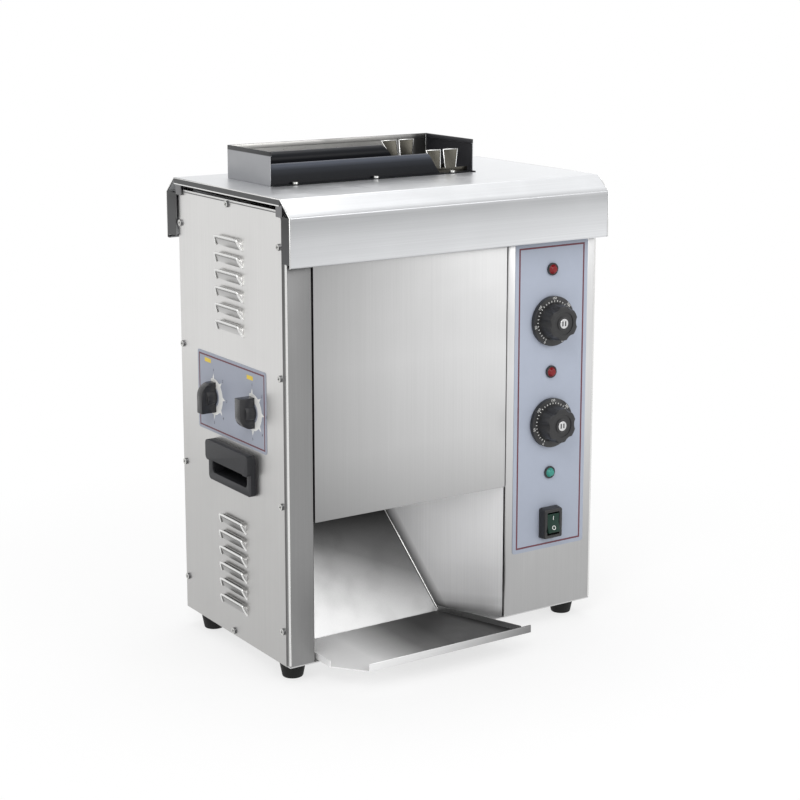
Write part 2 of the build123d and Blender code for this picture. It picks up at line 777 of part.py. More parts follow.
bush_holes = (bush_diameter / 2 + running, bush_places)
platen_bolt_holes = (platen_bolt_diameter / 2 + running, platen_bolt_places)
cam_shaft_holes = (gap_shaft_diameter / 2 + running, knob_places)
platen_heater_holes = (platen_heater_diameter / 2 + running, platen_heater_places)
radiant_holes = (radiant_diameter / 2 + running, radiant_places)
motor_holes = (motor_shaft_diameter / 2 + running, [(motor_y, drive_z), (idler_gear_y, drive_z)])
left_holes = [bush_holes, platen_bolt_holes, cam_shaft_holes]
right_holes = [bush_holes, platen_bolt_holes, platen_heater_holes, radiant_holes, motor_holes]
left_chamber_wall = chamber_wall(wall_left_x, chamber_left_x, left_holes)
left_chamber_wall.part.label = "left_chamber_wall"
export_step(left_chamber_wall.part, "parts/left_chamber_wall.step")
right_chamber_wall = chamber_wall(chamber_right_x, wall_right_x, right_holes)
right_chamber_wall.part.label = "right_chamber_wall"
export_step(right_chamber_wall.part, "parts/right_chamber_wall.step")

# Centre platen, bored along X for its heaters
with BuildPart() as platen:
    platen_ys = (platen_y - platen_thickness / 2, platen_y + platen_thickness / 2)
    slab((chamber_left_x, chamber_right_x), platen_ys, (platen_bottom_z, platen_top_z))
    rod(platen_heater_diameter / 2 + running, chamber_left_x + platen_bolt_bite, chamber_right_x,
        platen_heater_places, mode=Mode.SUBTRACT)
    for end_x in (chamber_left_x, chamber_right_x - platen_bolt_bite):
        rod(platen_bolt_diameter / 2 + running, end_x, end_x + platen_bolt_bite, platen_bolt_places,
            mode=Mode.SUBTRACT)
platen.part.label = "platen"
export_step(platen.part, "parts/platen.step")

# Bolts that hold the platen between the chamber walls
with BuildPart() as platen_bolts:
    for wall_x, way in ((wall_left_x, -1), (wall_right_x, 1)):
        rod(platen_bolt_diameter / 2, wall_x - way * (wall_sheet + platen_bolt_bite - running), wall_x,
            platen_bolt_places)
        head_x = wall_x + way * platen_bolt_head_height
        rod(platen_bolt_head_diameter / 2, wall_x, head_x, platen_bolt_places)
platen_bolts.part.label = "platen_bolts"
export_step(platen_bolts.part, "parts/platen_bolts.step")

# Cartridge heaters in the platen, with tails in the control side
with BuildPart() as platen_heaters:
    rod(platen_heater_diameter / 2, chamber_left_x + platen_bolt_bite + slip, wall_right_x + heater_tail,
        platen_heater_places)
platen_heaters.part.label = "platen_heaters"
export_step(platen_heaters.part, "parts/platen_heaters.step")

# Release sheets over both faces of the platen
with BuildPart() as release_sheets:
    for side in (-1, 1):
        inner_y = platen_y + side * platen_thickness / 2
        outer_y = inner_y + side * release_sheet
        slab((chamber_left_x + slip, chamber_right_x - slip), sorted((inner_y, outer_y)),
             (platen_bottom_z, platen_top_z))
release_sheets.part.label = "release_sheets"
export_step(release_sheets.part, "parts/release_sheets.step")

# Hairpin radiant heaters inside each belt, with both ends through the control side wall
with BuildPart() as radiant_heaters:
    for heater_y in (front_radiant_y, rear_radiant_y):
        tail_x = wall_right_x + heater_tail
        turn_x = belt_left_x + radiant_diameter
        with BuildLine(facing(heater_y)) as hairpin:
            FilletPolyline((tail_x, radiant_zs[0]), (turn_x, radiant_zs[0]), (turn_x, radiant_zs[1]),
                           (tail_x, radiant_zs[1]), radius=radiant_bend)
        with BuildSketch(Plane(origin=(tail_x, heater_y, radiant_zs[0]), z_dir=(-1, 0, 0))):
            Circle(radiant_diameter / 2)
        sweep(path=hairpin.line)
radiant_heaters.part.label = "radiant_heaters"
export_step(radiant_heaters.part, "parts/radiant_heaters.step")


def roller(y, z, right_end_x):
    """A belt roller with its shaft, at (y, z); right_end_x is where the shaft ends on the control side."""
    with BuildPart() as turned:
        rod(roller_diameter / 2, belt_left_x, belt_right_x, [(y, z)])
        rod(roller_shaft_diameter / 2, wall_left_x - bush_flange - shaft_end, right_end_x, [(y, z)])
    return turned


plain_end_x = wall_right_x + bush_flange + shaft_end
front_drive_roller = roller(front_roller_y, drive_z, gear_right_x + shaft_end)
front_drive_roller.part.label = "front_drive_roller"
export_step(front_drive_roller.part, "parts/front_drive_roller.step")
rear_drive_roller = roller(rear_roller_y, drive_z, gear_right_x + shaft_end)
rear_drive_roller.part.label = "rear_drive_roller"
export_step(rear_drive_roller.part, "parts/rear_drive_roller.step")
front_idler_roller = roller(front_roller_y, idler_z, plain_end_x)
front_idler_roller.part.label = "front_idler_roller"
export_step(front_idler_roller.part, "parts/front_idler_roller.step")
rear_idler_roller = roller(rear_roller_y, idler_z, plain_end_x)
rear_idler_roller.part.label = "rear_idler_roller"
export_step(rear_idler_roller.part, "parts/rear_idler_roller.step")


def belt(y):
    """An endless belt round the two rollers at depth y."""
    with BuildPart() as loop:
        with BuildSketch(across(belt_left_x)):
            with Locations((y, (drive_z + idler_z) / 2)):
                rise = idler_z - drive_z
                SlotCenterToCenter(rise, 2 * belt_radius, rotation=90)
                SlotCenterToCenter(rise, 2 * belt_inner_radius, rotation=90, mode=Mode.SUBTRACT)
        extrude(amount=belt_right_x - belt_left_x)
    return loop


front_belt = belt(front_roller_y)
front_belt.part.label = "front_belt"
export_step(front_belt.part, "parts/front_belt.step")
rear_belt = belt(rear_roller_y)
rear_belt.part.label = "rear_belt"
export_step(rear_belt.part, "parts/rear_belt.step")

# Flanged bushes for the roller shafts
with BuildPart() as roller_bushes:
    for wall_x, way in ((wall_left_x, -1), (wall_right_x, 1)):
        nose_x = wall_x - way * (wall_sheet + bush_nose)
        flange_x = wall_x + way * bush_flange
        rod(bush_diameter / 2, nose_x, wall_x, bush_places)
        rod(bush_flange_diameter / 2, wall_x, flange_x, bush_places)
        rod(roller_shaft_diameter / 2 + running, nose_x, flange_x, bush_places, mode=Mode.SUBTRACT)
roller_bushes.part.label = "roller_bushes"
export_step(roller_bushes.part, "parts/roller_bushes.step")

# One involute tooth, pointing along +X of its sketch
gear_pitch_radius = gear_pitch_diameter / 2
gear_base_radius = gear_pitch_radius * cos(radians(pressure_angle))
gear_tip_radius = gear_pitch_radius + gear_module
root_share = 1.25
gear_root_radius = gear_pitch_radius - root_share * gear_module


def tooth_half_angle(radius):
    """Half of the tooth's angle at a radius on the involute."""
    pitch_half = pi / (2 * gear_teeth) - gear_backlash / (2 * gear_pitch_diameter)
    turn = acos(gear_base_radius / radius)
    return pitch_half + (tan(radians(pressure_angle)) - radians(pressure_angle)) - (tan(turn) - turn)


def tooth_point(radius, side):
    """A point on the flank on one side of the tooth."""
    half = tooth_half_angle(max(radius, gear_base_radius))
    return (radius * cos(half), side * radius * sin(half))


flank_radii = [gear_base_radius + (gear_tip_radius - gear_base_radius) * i / (flank_steps - 1)
               for i in range(flank_steps)]
with BuildSketch() as gear_tooth:
    with BuildLine():
        Spline(*[tooth_point(r, -1) for r in flank_radii])
        ThreePointArc(tooth_point(gear_tip_radius, -1), (gear_tip_radius, 0),
                      tooth_point(gear_tip_radius, 1))
        Spline(*[tooth_point(r, 1) for r in reversed(flank_radii)])
        Polyline(tooth_point(gear_base_radius, 1), tooth_point(gear_root_radius - running, 1),
                 tooth_point(gear_root_radius - running, -1), tooth_point(gear_base_radius, -1))
    make_face()


def gear(place, bore_radius, start_tooth):
    """A spur gear of the train at a step in the row; start_tooth is 0 or a half pitch."""
    with BuildPart() as wheel:
        with BuildSketch(across(gear_left_x)):
            with Locations((gear_ys[place], drive_z)):
                Circle(gear_root_radius)
                with PolarLocations(0, gear_teeth, start_angle=start_tooth * 360 / gear_teeth):
                    add(gear_tooth.sketch)
                if bore_radius:
                    Circle(bore_radius, mode=Mode.SUBTRACT)
        extrude(amount=gear_width)
    return wheel


half_pitch_share = 0.5
front_drive_gear = gear(0, roller_shaft_diameter / 2 + running, 0)
front_drive_gear.part.label = "front_drive_gear"
export_step(front_drive_gear.part, "parts/front_drive_gear.step")
rear_drive_gear = gear(3, roller_shaft_diameter / 2 + running, half_pitch_share)
rear_drive_gear.part.label = "rear_drive_gear"
export_step(rear_drive_gear.part, "parts/rear_drive_gear.step")
idler_gear = gear(2, motor_shaft_diameter / 2 + running, 0)
idler_gear.part.label = "idler_gear"
export_step(idler_gear.part, "parts/idler_gear.step")

# Motor gear, cut on the end of the output shaft
motor_wheel = gear(1, 0, half_pitch_share)
with BuildPart() as motor_gear:
    add(motor_wheel.part)
    rod(motor_shaft_diameter / 2, chamber_right_x, gearbox_x + motor_shaft_bite, [(motor_y, drive_z)])
motor_gear.part.label = "motor_gear"
export_step(motor_gear.part, "parts/motor_gear.step")

# Stud that the idler gear turns on
with BuildPart() as idler_stud:
    stud_place = [(idler_gear_y, drive_z)]
    stud_head_x = gear_right_x + slip
    rod(motor_shaft_diameter / 2, chamber_right_x, stud_head_x, stud_place)
    rod(stud_head_diameter / 2, stud_head_x, stud_head_x + stud_head_height, stud_place)
idler_stud.part.label = "idler_stud"
export_step(idler_stud.part, "parts/idler_stud.step")

# Gear motor on four standoffs
with BuildPart() as gear_motor:
    with BuildSketch(across(gearbox_x)):
        with Locations((motor_y, drive_z)):
            RectangleRounded(gearbox_size, gearbox_size, motor_corner_radius)
    extrude(amount=gearbox_depth)
    motor_place = [(motor_y, drive_z)]
    can_x = gearbox_x + gearbox_depth
    rod(motor_diameter / 2, can_x, can_x + motor_length, motor_place)
    rod(motor_shaft_diameter / 2 + running, gearbox_x, gearbox_x + motor_shaft_bite + slip, motor_place,
        mode=Mode.SUBTRACT)
gear_motor.part.label = "gear_motor"
export_step(gear_motor.part, "parts/gear_motor.step")
with BuildPart() as motor_standoffs:
    rod(standoff_diameter / 2, wall_right_x, gearbox_x, standoff_places)
motor_standoffs.part.label = "motor_standoffs"
export_step(motor_standoffs.part, "parts/motor_standoffs.step")


def pressure_plate(plate_y, pin_y):
    """The plate behind a belt's inner run: end cheeks, guide pins on the right, pin holes on the left."""
    with BuildPart() as plate:
        slab((belt_left_x, belt_right_x), (plate_y - plate_sheet / 2, plate_y + plate_sheet / 2),
             (plate_bottom_z, plate_top_z))
        for cheek_x in (belt_left_x, belt_right_x - plate_cheek):
            slab((cheek_x, cheek_x + plate_cheek), (pin_y - plate_cheek / 2, pin_y + plate_cheek / 2),
                 (link_pin_zs[0] - plate_cheek, link_pin_zs[1] + plate_cheek))
        pins = [(pin_y, z) for z in link_pin_zs]
        rod(plate_pin_diameter / 2, belt_right_x, wall_right_x + bush_flange, pins)
        rod(link_pin_diameter / 2 + running, belt_left_x, belt_left_x + plate_cheek, pins,
            mode=Mode.SUBTRACT)
    return plate


front_pressure_plate = pressure_plate(front_plate_y, front_pin_y)
front_pressure_plate.part.label = "front_pressure_plate"
export_step(front_pressure_plate.part, "parts/front_pressure_plate.step")
rear_pressure_plate = pressure_plate(rear_plate_y, rear_pin_y)
rear_pressure_plate.part.label = "rear_pressure_plate"
export_step(rear_pressure_plate.part, "parts/rear_pressure_plate.step")


def plate_link(follower_y, pin_y):
    """The bar that ties a cam's follower pin to the two pins of its pressure plate."""
    with BuildPart() as link:
        with BuildSketch(across(link_left_x)):
            with Locations(((follower_y + pin_y) / 2, gap_knob_z)):
                SlotCenterToCenter(abs(pin_y - follower_y), link_width)
            with Locations((pin_y, gap_knob_z + link_pin_rise)):
                SlotCenterToCenter(link_pin_spacing, link_width, rotation=90)
        extrude(amount=link_thickness)
        rod(cam_pin_diameter / 2, cam_left_x - slip, link_left_x, [(follower_y, gap_knob_z)])
        rod(link_pin_diameter / 2, link_right_x, belt_left_x + plate_cheek,
            [(pin_y, z) for z in link_pin_zs])
    return link


front_plate_link = plate_link(front_knob_y + cam_far_radius, front_pin_y)
front_plate_link.part.label = "front_plate_link"
export_step(front_plate_link.part, "parts/front_plate_link.step")
rear_plate_link = plate_link(rear_knob_y + cam_near_radius, rear_pin_y)
rear_plate_link.part.label = "rear_plate_link"
export_step(rear_plate_link.part, "parts/rear_plate_link.step")


def cam(y, start_radius, end_radius):
    """A disc with a spiral slot on the knob's shaft; the slot's radius changes evenly over the sweep."""
    half_slot = cam_pin_diameter / 2 + cam_pin_gap
    turns = [radians(cam_sweep) * i / cam_steps for i in range(cam_steps + 1)]
    radii = [start_radius + (end_radius - start_radius) * i / cam_steps for i in range(cam_steps + 1)]
    inner = [((r - half_slot) * cos(a), (r - half_slot) * sin(a)) for r, a in zip(radii, turns)]
    outer = [((r + half_slot) * cos(a), (r + half_slot) * sin(a)) for r, a in zip(radii, turns)]
    with BuildPart() as disc:
        with BuildSketch(Plane(origin=(cam_left_x, y, gap_knob_z), x_dir=(0, 1, 0), z_dir=(1, 0, 0))):
            Circle(cam_radius)
            with BuildLine():
                Spline(*inner)
                Line(inner[-1], outer[-1])
                Spline(*reversed(outer))
                Line(outer[0], inner[0])
            make_face(mode=Mode.SUBTRACT)
            with Locations((radii[0], 0), (radii[-1] * cos(turns[-1]), radii[-1] * sin(turns[-1]))):
                Circle(half_slot, mode=Mode.SUBTRACT)
        extrude(amount=cam_thickness)
        rod(gap_shaft_diameter / 2, left_x - overlay_sheet - slip - gap_shaft_bite, chamber_left_x - slip,
            [(y, gap_knob_z)])
    return disc


front_cam = cam(front_knob_y, cam_far_radius, cam_near_radius)
front_cam.part.label = "front_cam"
export_step(front_cam.part, "parts/front_cam.step")
rear_cam = cam(rear_knob_y, cam_near_radius, cam_far_radius)
rear_cam.part.label = "rear_cam"
export_step(rear_cam.part, "parts/rear_cam.step")

# Side overlay under the pointer knobs
with BuildPart() as side_overlay:
    with BuildSketch(outward(left_x, -1)):
        with Locations((-mid_y, side_overlay_z)):
            RectangleRounded(side_overlay_width, side_overlay_height, overlay_corner_radius)
        with Locations(*[(-y, z) for y, z in knob_places]):
            Circle(gap_shaft_diameter / 2 + slip, mode=Mode.SUBTRACT)
    extrude(amount=overlay_sheet)
side_overlay.part.label = "side_overlay"
export_step(side_overlay.part, "parts/side_overlay.step")


def gap_knob(y, up):
    """A pointer knob: a round base and a bar grip whose outer corner is rounded at one end, up 1 or -1."""
    base_x = left_x - overlay_sheet - slip
    tip_x = base_x - gap_knob_height
    long_end = up * gap_knob_diameter / 2
    with BuildPart() as knob:
        rod(gap_knob_hub_diameter / 2, base_x - gap_knob_hub_height, base_x, [(y, gap_knob_z)])
        with BuildSketch(facing(y + gap_knob_grip_width / 2)) as grip:
            with BuildLine():
                Polyline((base_x, gap_knob_z - long_end), (tip_x, gap_knob_z - long_end),
                         (tip_x, gap_knob_z + long_end), (base_x, gap_knob_z + long_end), close=True)
            make_face()
            rounded = grip.vertices().group_by(Axis.X)[0].sort_by(Axis.Y)[0 if up < 0 else -1]
            fillet(rounded, radius=gap_knob_round)
        extrude(amount=gap_knob_grip_width)
        rod(gap_shaft_diameter / 2 + running, base_x - gap_shaft_bite - slip, base_x, [(y, gap_knob_z)],
            mode=Mode.SUBTRACT)
    return knob


front_gap_knob = gap_knob(front_knob_y, -1)
front_gap_knob.part.label = "front_gap_knob"
export_step(front_gap_knob.part, "parts/front_gap_knob.step")
rear_gap_knob = gap_knob(rear_knob_y, 1)
rear_gap_knob.part.label = "rear_gap_knob"
export_step(rear_gap_knob.part, "parts/rear_gap_knob.step")

# Control overlay with its cut-outs
with BuildPart() as control_overlay:
    with BuildSketch(facing(front_y)):
        with Locations((control_x, base_z + control_overlay_lift + control_overlay_height / 2)):
            RectangleRounded(control_overlay_width, control_overlay_height, overlay_corner_radius)
        with Locations(*[(control_x, z) for z in lamp_zs]):
            Circle(lamp_hole_diameter / 2, mode=Mode.SUBTRACT)
        with Locations(*[(control_x, z) for z in knob_zs]):
            Circle(thermostat_neck_diameter / 2, mode=Mode.SUBTRACT)
        with Locations((control_x, switch_z)):
            Rectangle(switch_hole_width, switch_hole_height, mode=Mode.SUBTRACT)
    extrude(amount=overlay_sheet)
control_overlay.part.label = "control_overlay"
export_step(control_overlay.part, "parts/control_overlay.step")

# Thermostats behind the column, with necks through the panel
with BuildPart() as thermostats:
    for z in knob_zs:
        slab((control_x - thermostat_width / 2, control_x + thermostat_width / 2),
             (front_y + sheet, front_y + sheet + thermostat_depth),
             (z - thermostat_height / 2, z + thermostat_height / 2))
        with BuildSketch(facing(front_y + sheet)):
            with Locations((control_x, z)):
                Circle(thermostat_neck_diameter / 2 - running)
        extrude(amount=sheet + overlay_sheet)
        with BuildSketch(facing(overlay_front_y)):
            with Locations((control_x, z)):
                Circle(heat_spindle_diameter / 2 + running)
        extrude(amount=-(heat_spindle_length + slip), mode=Mode.SUBTRACT)
thermostats.part.label = "thermostats"
export_step(thermostats.part, "parts/thermostats.step")


def heat_knob(z):
    """A thermostat knob: a dial skirt, a lobed grip and the spindle that it turns."""
    skirt_y = overlay_front_y - slip
    with BuildPart() as knob:
        with BuildSketch(facing(skirt_y)):
            with Locations((control_x, z)):
                Circle(heat_knob_diameter / 2)
        extrude(amount=heat_knob_skirt)
        with BuildSketch(facing(skirt_y - heat_knob_skirt)):
            with Locations((control_x, z)):
                Circle(heat_knob_grip_diameter / 2)
        with BuildSketch(facing(skirt_y - heat_knob_skirt - heat_knob_grip_height)):
            with Locations((control_x, z)):
                Circle(heat_knob_tip_diameter / 2)
        loft()
        with BuildSketch(facing(skirt_y - heat_knob_skirt)):
            with Locations((control_x, z)):
                with PolarLocations(heat_knob_lobe_offset, heat_knob_lobes):
                    Circle(heat_knob_lobe_diameter / 2)
        extrude(amount=heat_knob_grip_height, taper=-heat_knob_lobe_flare, mode=Mode.SUBTRACT)
        with BuildSketch(facing(skirt_y - heat_knob_skirt - heat_knob_grip_height)):
            with Locations((control_x, z)):
                Circle(heat_knob_ring_diameter / 2)
                Circle(heat_knob_cap_diameter / 2, mode=Mode.SUBTRACT)
        extrude(amount=-heat_knob_ring_depth, mode=Mode.SUBTRACT)
        with BuildSketch(facing(skirt_y)):
            with Locations((control_x, z)):
                Circle(heat_spindle_diameter / 2)
        extrude(amount=-heat_spindle_length)
    return knob


upper_heat_knob = heat_knob(upper_knob_z)
upper_heat_knob.part.label = "upper_heat_knob"
export_step(upper_heat_knob.part, "parts/upper_heat_knob.step")
lower_heat_knob = heat_knob(lower_knob_z)
lower_heat_knob.part.label = "lower_heat_knob"
export_step(lower_heat_knob.part, "parts/lower_heat_knob.step")


def lamps(zs):
    """Indicator lamps with a rim and a domed lens, at each height."""
    with BuildPart() as set_of_lamps:
        for z in zs:
            with BuildSketch(facing(overlay_front_y)):
                with Locations((control_x, z)):
                    Circle(lamp_diameter / 2)
            extrude(amount=lamp_bezel)
            with BuildSketch(facing(overlay_front_y - lamp_bezel)):
                with Locations((control_x, z)):
                    Circle(lamp_lens_diameter / 2)
            extrude(amount=lamp_dome, taper=30)
            with BuildSketch(facing(overlay_front_y)):
                with Locations((control_x, z)):
                    Circle(lamp_hole_diameter / 2 - running)
            extrude(amount=-lamp_length)
    return set_of_lamps


red_lamps = lamps((upper_lamp_z, lower_lamp_z))
red_lamps.part.label = "red_lamps"
export_step(red_lamps.part, "parts/red_lamps.step")
green_lamp = lamps((green_lamp_z,))
green_lamp.part.label = "green_lamp"
export_step(green_lamp.part, "parts/green_lamp.step")

# Power switch housing: a rim on the overlay and a hollow body behind it
switch_body_width = switch_hole_width - 2 * running
switch_body_height = switch_hole_height - 2 * running
switch_bay_width = switch_body_width - 2 * switch_body_wall
switch_bay_height = switch_body_height - 2 * switch_body_wall
rocker_axis_y = overlay_front_y - switch_bezel_proud + switch_seat
pin_left_x = control_x - switch_body_width / 2
pin_right_x = control_x + switch_body_width / 2
with BuildPart() as switch_housing:
    with BuildSketch(facing(overlay_front_y)):
        with Locations((control_x, switch_z)):
            RectangleRounded(switch_width, switch_height, switch_corner_radius)
    extrude(amount=switch_bezel_proud, taper=switch_bezel_taper)
    with BuildSketch(facing(overlay_front_y)):
        with Locations((control_x, switch_z)):
            Rectangle(switch_body_width, switch_body_height)
    extrude(amount=-switch_body_depth)
    with BuildSketch(facing(overlay_front_y - switch_bezel_proud)):
        with Locations((control_x, switch_z)):
            Rectangle(switch_bay_width, switch_bay_height)
    extrude(amount=-(switch_bezel_proud + switch_body_depth - switch_body_wall), mode=Mode.SUBTRACT)
    rod(rocker_pin_diameter / 2 + running, pin_left_x, pin_right_x, [(rocker_axis_y, switch_z)],
        mode=Mode.SUBTRACT)
switch_housing.part.label = "switch_housing"
export_step(switch_housing.part, "parts/switch_housing.step")

# Rocker: a shallow vee that tilts on its pins, at rest with its upper half pressed in
rocker_half = switch_bay_height / 2 - 2 * slip
rocker_rise = switch_seat + rocker_proud
tilt = radians(rocker_tilt)
rocker_up = (0, sin(tilt), cos(tilt))
wing_drop = rocker_half * tan(tilt)
wing_half = rocker_half - wing_drop
with BuildPart() as switch_rocker:
    with BuildSketch(Plane(origin=(control_x, rocker_axis_y, switch_z), x_dir=rocker_up, z_dir=(1, 0, 0))):
        with BuildLine():
            Polyline((-wing_half, -rocker_depth / 2), (wing_half, -rocker_depth / 2),
                     (wing_half, rocker_rise), (0, rocker_rise - wing_drop), (-wing_half, rocker_rise),
                     close=True)
        make_face()
    extrude(amount=switch_bay_width / 2 - slip, both=True)
    rod(rocker_pin_diameter / 2, pin_left_x, pin_right_x, [(rocker_axis_y, switch_z)])
switch_rocker.part.label = "switch_rocker"
export_step(switch_rocker.part, "parts/switch_rocker.step")

# Feed chute: three walls with a folded rim, open at the front
with BuildPart() as feed_chute:
    slab((chute_left_x, chute_right_x), (chute_front_y, chute_back_y), (lid_top_z, chute_top_z))
    slab((chute_left_x + sheet, chute_right_x - sheet), (chute_front_y, chute_back_y - sheet),
         (lid_top_z, chute_top_z), mode=Mode.SUBTRACT)
    rim_zs = (chute_top_z - chute_rim_height, chute_top_z)
    rim_right_x = chute_right_x - chute_rim_thickness
    slab((chute_left_x, chute_left_x + chute_rim_thickness), (chute_front_y, chute_back_y), rim_zs)
    slab((rim_right_x, chute_right_x), (chute_front_y, chute_back_y), rim_zs)
    slab((chute_left_x, chute_right_x), (chute_back_y - chute_rim_thickness, chute_back_y), rim_zs)
feed_chute.part.label = "feed_chute"
export_step(feed_chute.part, "parts/feed_chute.step")

# Front feed guide: one folded sheet, from a screwed foot over a rounded bar and down into the front lane
front_guide_top_z = lid_top_z + front_guide_height
with BuildPart() as front_feed_guide:
    for gap, mode in ((0, Mode.ADD), (guide_sheet, Mode.SUBTRACT)):
        with BuildSketch(across(guide_left_x)) as bar:
            with BuildLine():
                Polyline((chute_front_y + gap, lid_top_z),
                         (chute_front_y + front_guide_lean + gap, front_guide_top_z - gap),
                         (front_guide_back_y - gap, front_guide_top_z - gap),
                         (front_guide_back_y - gap, lid_top_z), close=True)
            make_face()
            fillet(bar.vertices().group_by(Axis.Y)[-1], radius=front_guide_round - gap)
        extrude(amount=front_guide_right_x - guide_left_x, mode=mode)
    with BuildSketch(facing(chute_back_y)):
        with BuildLine():
            Polyline((front_guide_right_x - guide_end_slope, front_guide_top_z),
                     (front_guide_right_x, front_guide_top_z), (front_guide_right_x, lid_top_z), close=True)
        make_face()
    extrude(amount=chute_depth, mode=Mode.SUBTRACT)
    foot_ys = (chute_front_y - front_guide_foot, chute_front_y + guide_sheet)
    slab((guide_left_x, chute_right_x - sheet), foot_ys, (lid_top_z, lid_top_z + guide_sheet))
    slab((feed_left_x + slip, front_guide_right_x - guide_end_slope),
         (front_guide_back_y - guide_sheet, front_guide_back_y),
         (lid_top_z - front_guide_skirt_drop, lid_top_z + guide_sheet))
    with BuildSketch(level(lid_top_z)):
        with Locations(*guide_screw_places):
            Circle(screw_shank_diameter / 2 + running)
    extrude(amount=guide_sheet, mode=Mode.SUBTRACT)
front_feed_guide.part.label = "front_feed_guide"
export_step(front_feed_guide.part, "parts/front_feed_guide.step")

# Screws through the front guide's foot into the lid
with BuildPart() as guide_screws:
    with Locations(*[(x, y, lid_top_z + guide_sheet) for x, y in guide_screw_places]):
        add(pan_screw.part)
guide_screws.part.label = "guide_screws"
export_step(guide_screws.part, "parts/guide_screws.step")

# Centre feed guide: a round-topped fold that sits over the platen and parts the two lanes
centre_guide_top_z = lid_top_z + centre_guide_height
centre_guide_base_z = platen_top_z - guide_overlap
with BuildPart() as centre_feed_guide:
    round_z = centre_guide_top_z - centre_guide_half
    with BuildSketch(across(guide_left_x)):
        for half, mode in ((centre_guide_half, Mode.ADD), (centre_guide_half - guide_sheet, Mode.SUBTRACT)):
            with Locations((platen_y, round_z)):
                Circle(half, mode=mode)
            with Locations((platen_y, (centre_guide_base_z + round_z) / 2)):
                Rectangle(2 * half, round_z - centre_guide_base_z, mode=mode)
    extrude(amount=centre_guide_right_x - guide_left_x)
    with BuildSketch(facing(chute_back_y)):
        with BuildLine():
            Polyline((centre_guide_right_x - centre_guide_end_slope, centre_guide_top_z),
                     (centre_guide_right_x, centre_guide_top_z), (centre_guide_right_x, lid_top_z),
                     close=True)
        make_face()
    extrude(amount=chute_depth, mode=Mode.SUBTRACT)
    slab((guide_left_x, feed_left_x + slip), (platen_y - centre_guide_half, platen_y + centre_guide_half),
         (centre_guide_base_z, lid_top_z + slip), mode=Mode.SUBTRACT)
centre_feed_guide.part.label = "centre_feed_guide"
export_step(centre_feed_guide.part, "parts/centre_feed_guide.step")

# Steel end tabs: a strip with two upright tabs, past the slanted end of each guide
with BuildPart() as guide_end_tabs:
    for end_x, slope, plate_y, tab_top_z in (
            (front_guide_right_x, guide_end_slope, front_guide_back_y, lid_top_z + front_tab_height),
            (centre_guide_right_x, centre_guide_end_slope, platen_y, chute_top_z)):
        strip_left_x = end_x + slip
        strip_right_x = chute_right_x - sheet
        strip_top_z = lid_top_z + tab_strip
        with BuildSketch(facing(plate_y)):
            with Locations(((strip_left_x + strip_right_x) / 2, (lid_top_z + strip_top_z) / 2)):
                Rectangle(strip_right_x - strip_left_x, tab_strip)
            with BuildLine():
                Polyline((strip_left_x, lid_top_z), (strip_left_x + tab_foot_width - slope / 2, lid_top_z),
                         (strip_left_x + tab_width - slope, tab_top_z), (strip_left_x - slope, tab_top_z),
                         close=True)
            make_face()
            second_x = strip_left_x + tab_width + tab_gap - slope
            with BuildLine():
                Polyline((second_x + tab_gap, lid_top_z), (second_x + tab_gap + tab_foot_width, lid_top_z),
                         (second_x + tab_width, tab_top_z), (second_x, tab_top_z), close=True)
            make_face()
        extrude(amount=sheet)
guide_end_tabs.part.label = "guide_end_tabs"
export_step(guide_end_tabs.part, "parts/guide_end_tabs.step")

# Discharge ramp: steep below, flatter above, cut along the deflector
ramp_foot_y = front_y + ramp_foot_share * case_depth
ramp_end_y = front_y + ramp_end_share * case_depth
ramp_points = [(ramp_foot_y, pan_z), (front_y + ramp_knee_share * case_depth, base_z + ramp_knee_lift),
               (ramp_end_y, base_z + ramp_end_lift)]
deflector_length = deflector_share * case_depth
ramp_lean = atan2(ramp_points[1][1] - ramp_points[0][1], ramp_points[1][0] - ramp_points[0][0])
deflector_turn = atan2(1, -deflector_run)
along = Vector(cos(deflector_turn), sin(deflector_turn), 0)
behind = Vector(sin(deflector_turn), -cos(deflector_turn), 0)
deflector_start = Vector(column_left_x - 2 * sheet, front_y + sheet + slip, pan_z)
deflector_end = deflector_start + along * deflector_length
shed_rise = shed_rise_share * behind.Y * (front_roller_y - deflector_start.Y)
deflector_lift = drive_z - belt_radius - shed_gap - shed_rise - pan_z
with BuildPart() as discharge_ramp:
    with BuildSketch(across(chamber_left_x)):
        with BuildLine():
            Polyline(*ramp_points, (ramp_points[2][0], ramp_points[2][1] - sheet),
                     (ramp_points[1][0] + sheet, ramp_points[1][1] - sheet),
                     (ramp_points[0][0] + sheet / sin(ramp_lean), pan_z), close=True)
        make_face()
    extrude(amount=chamber_right_x - chamber_left_x)
    with BuildSketch(level(pan_z)):
        with BuildLine():
            Polyline((deflector_start.X, deflector_start.Y), (deflector_end.X, deflector_end.Y),
                     (deflector_end.X, back_y), (right_x, back_y), (right_x, deflector_start.Y), close=True)
        make_face()
    extrude(amount=ramp_end_lift + sheet, mode=Mode.SUBTRACT)
discharge_ramp.part.label = "discharge_ramp"
export_step(discharge_ramp.part, "parts/discharge_ramp.step")

# Deflector: an upright wall that turns buns towards the tray, and the shed plate on top of it
shed_back_y = ramp_end_y
shed_right_x = chamber_right_x - slip
shed_level = Vector(0, 0, deflector_lift)
shed_normal = (Vector(0, 0, 1) - behind * shed_rise_share).normalized()
shed_plane = Plane(origin=deflector_start + shed_level, x_dir=along, z_dir=shed_normal)


def on_shed(x, y):
    """The point of the shed plate over a place in plan, in the plane of the plate."""
    step = Vector(x - deflector_start.X, y - deflector_start.Y, 0)
    over = step + Vector(0, 0, shed_rise_share * step.dot(behind))
    return (over.dot(shed_plane.x_dir), over.dot(shed_plane.y_dir))


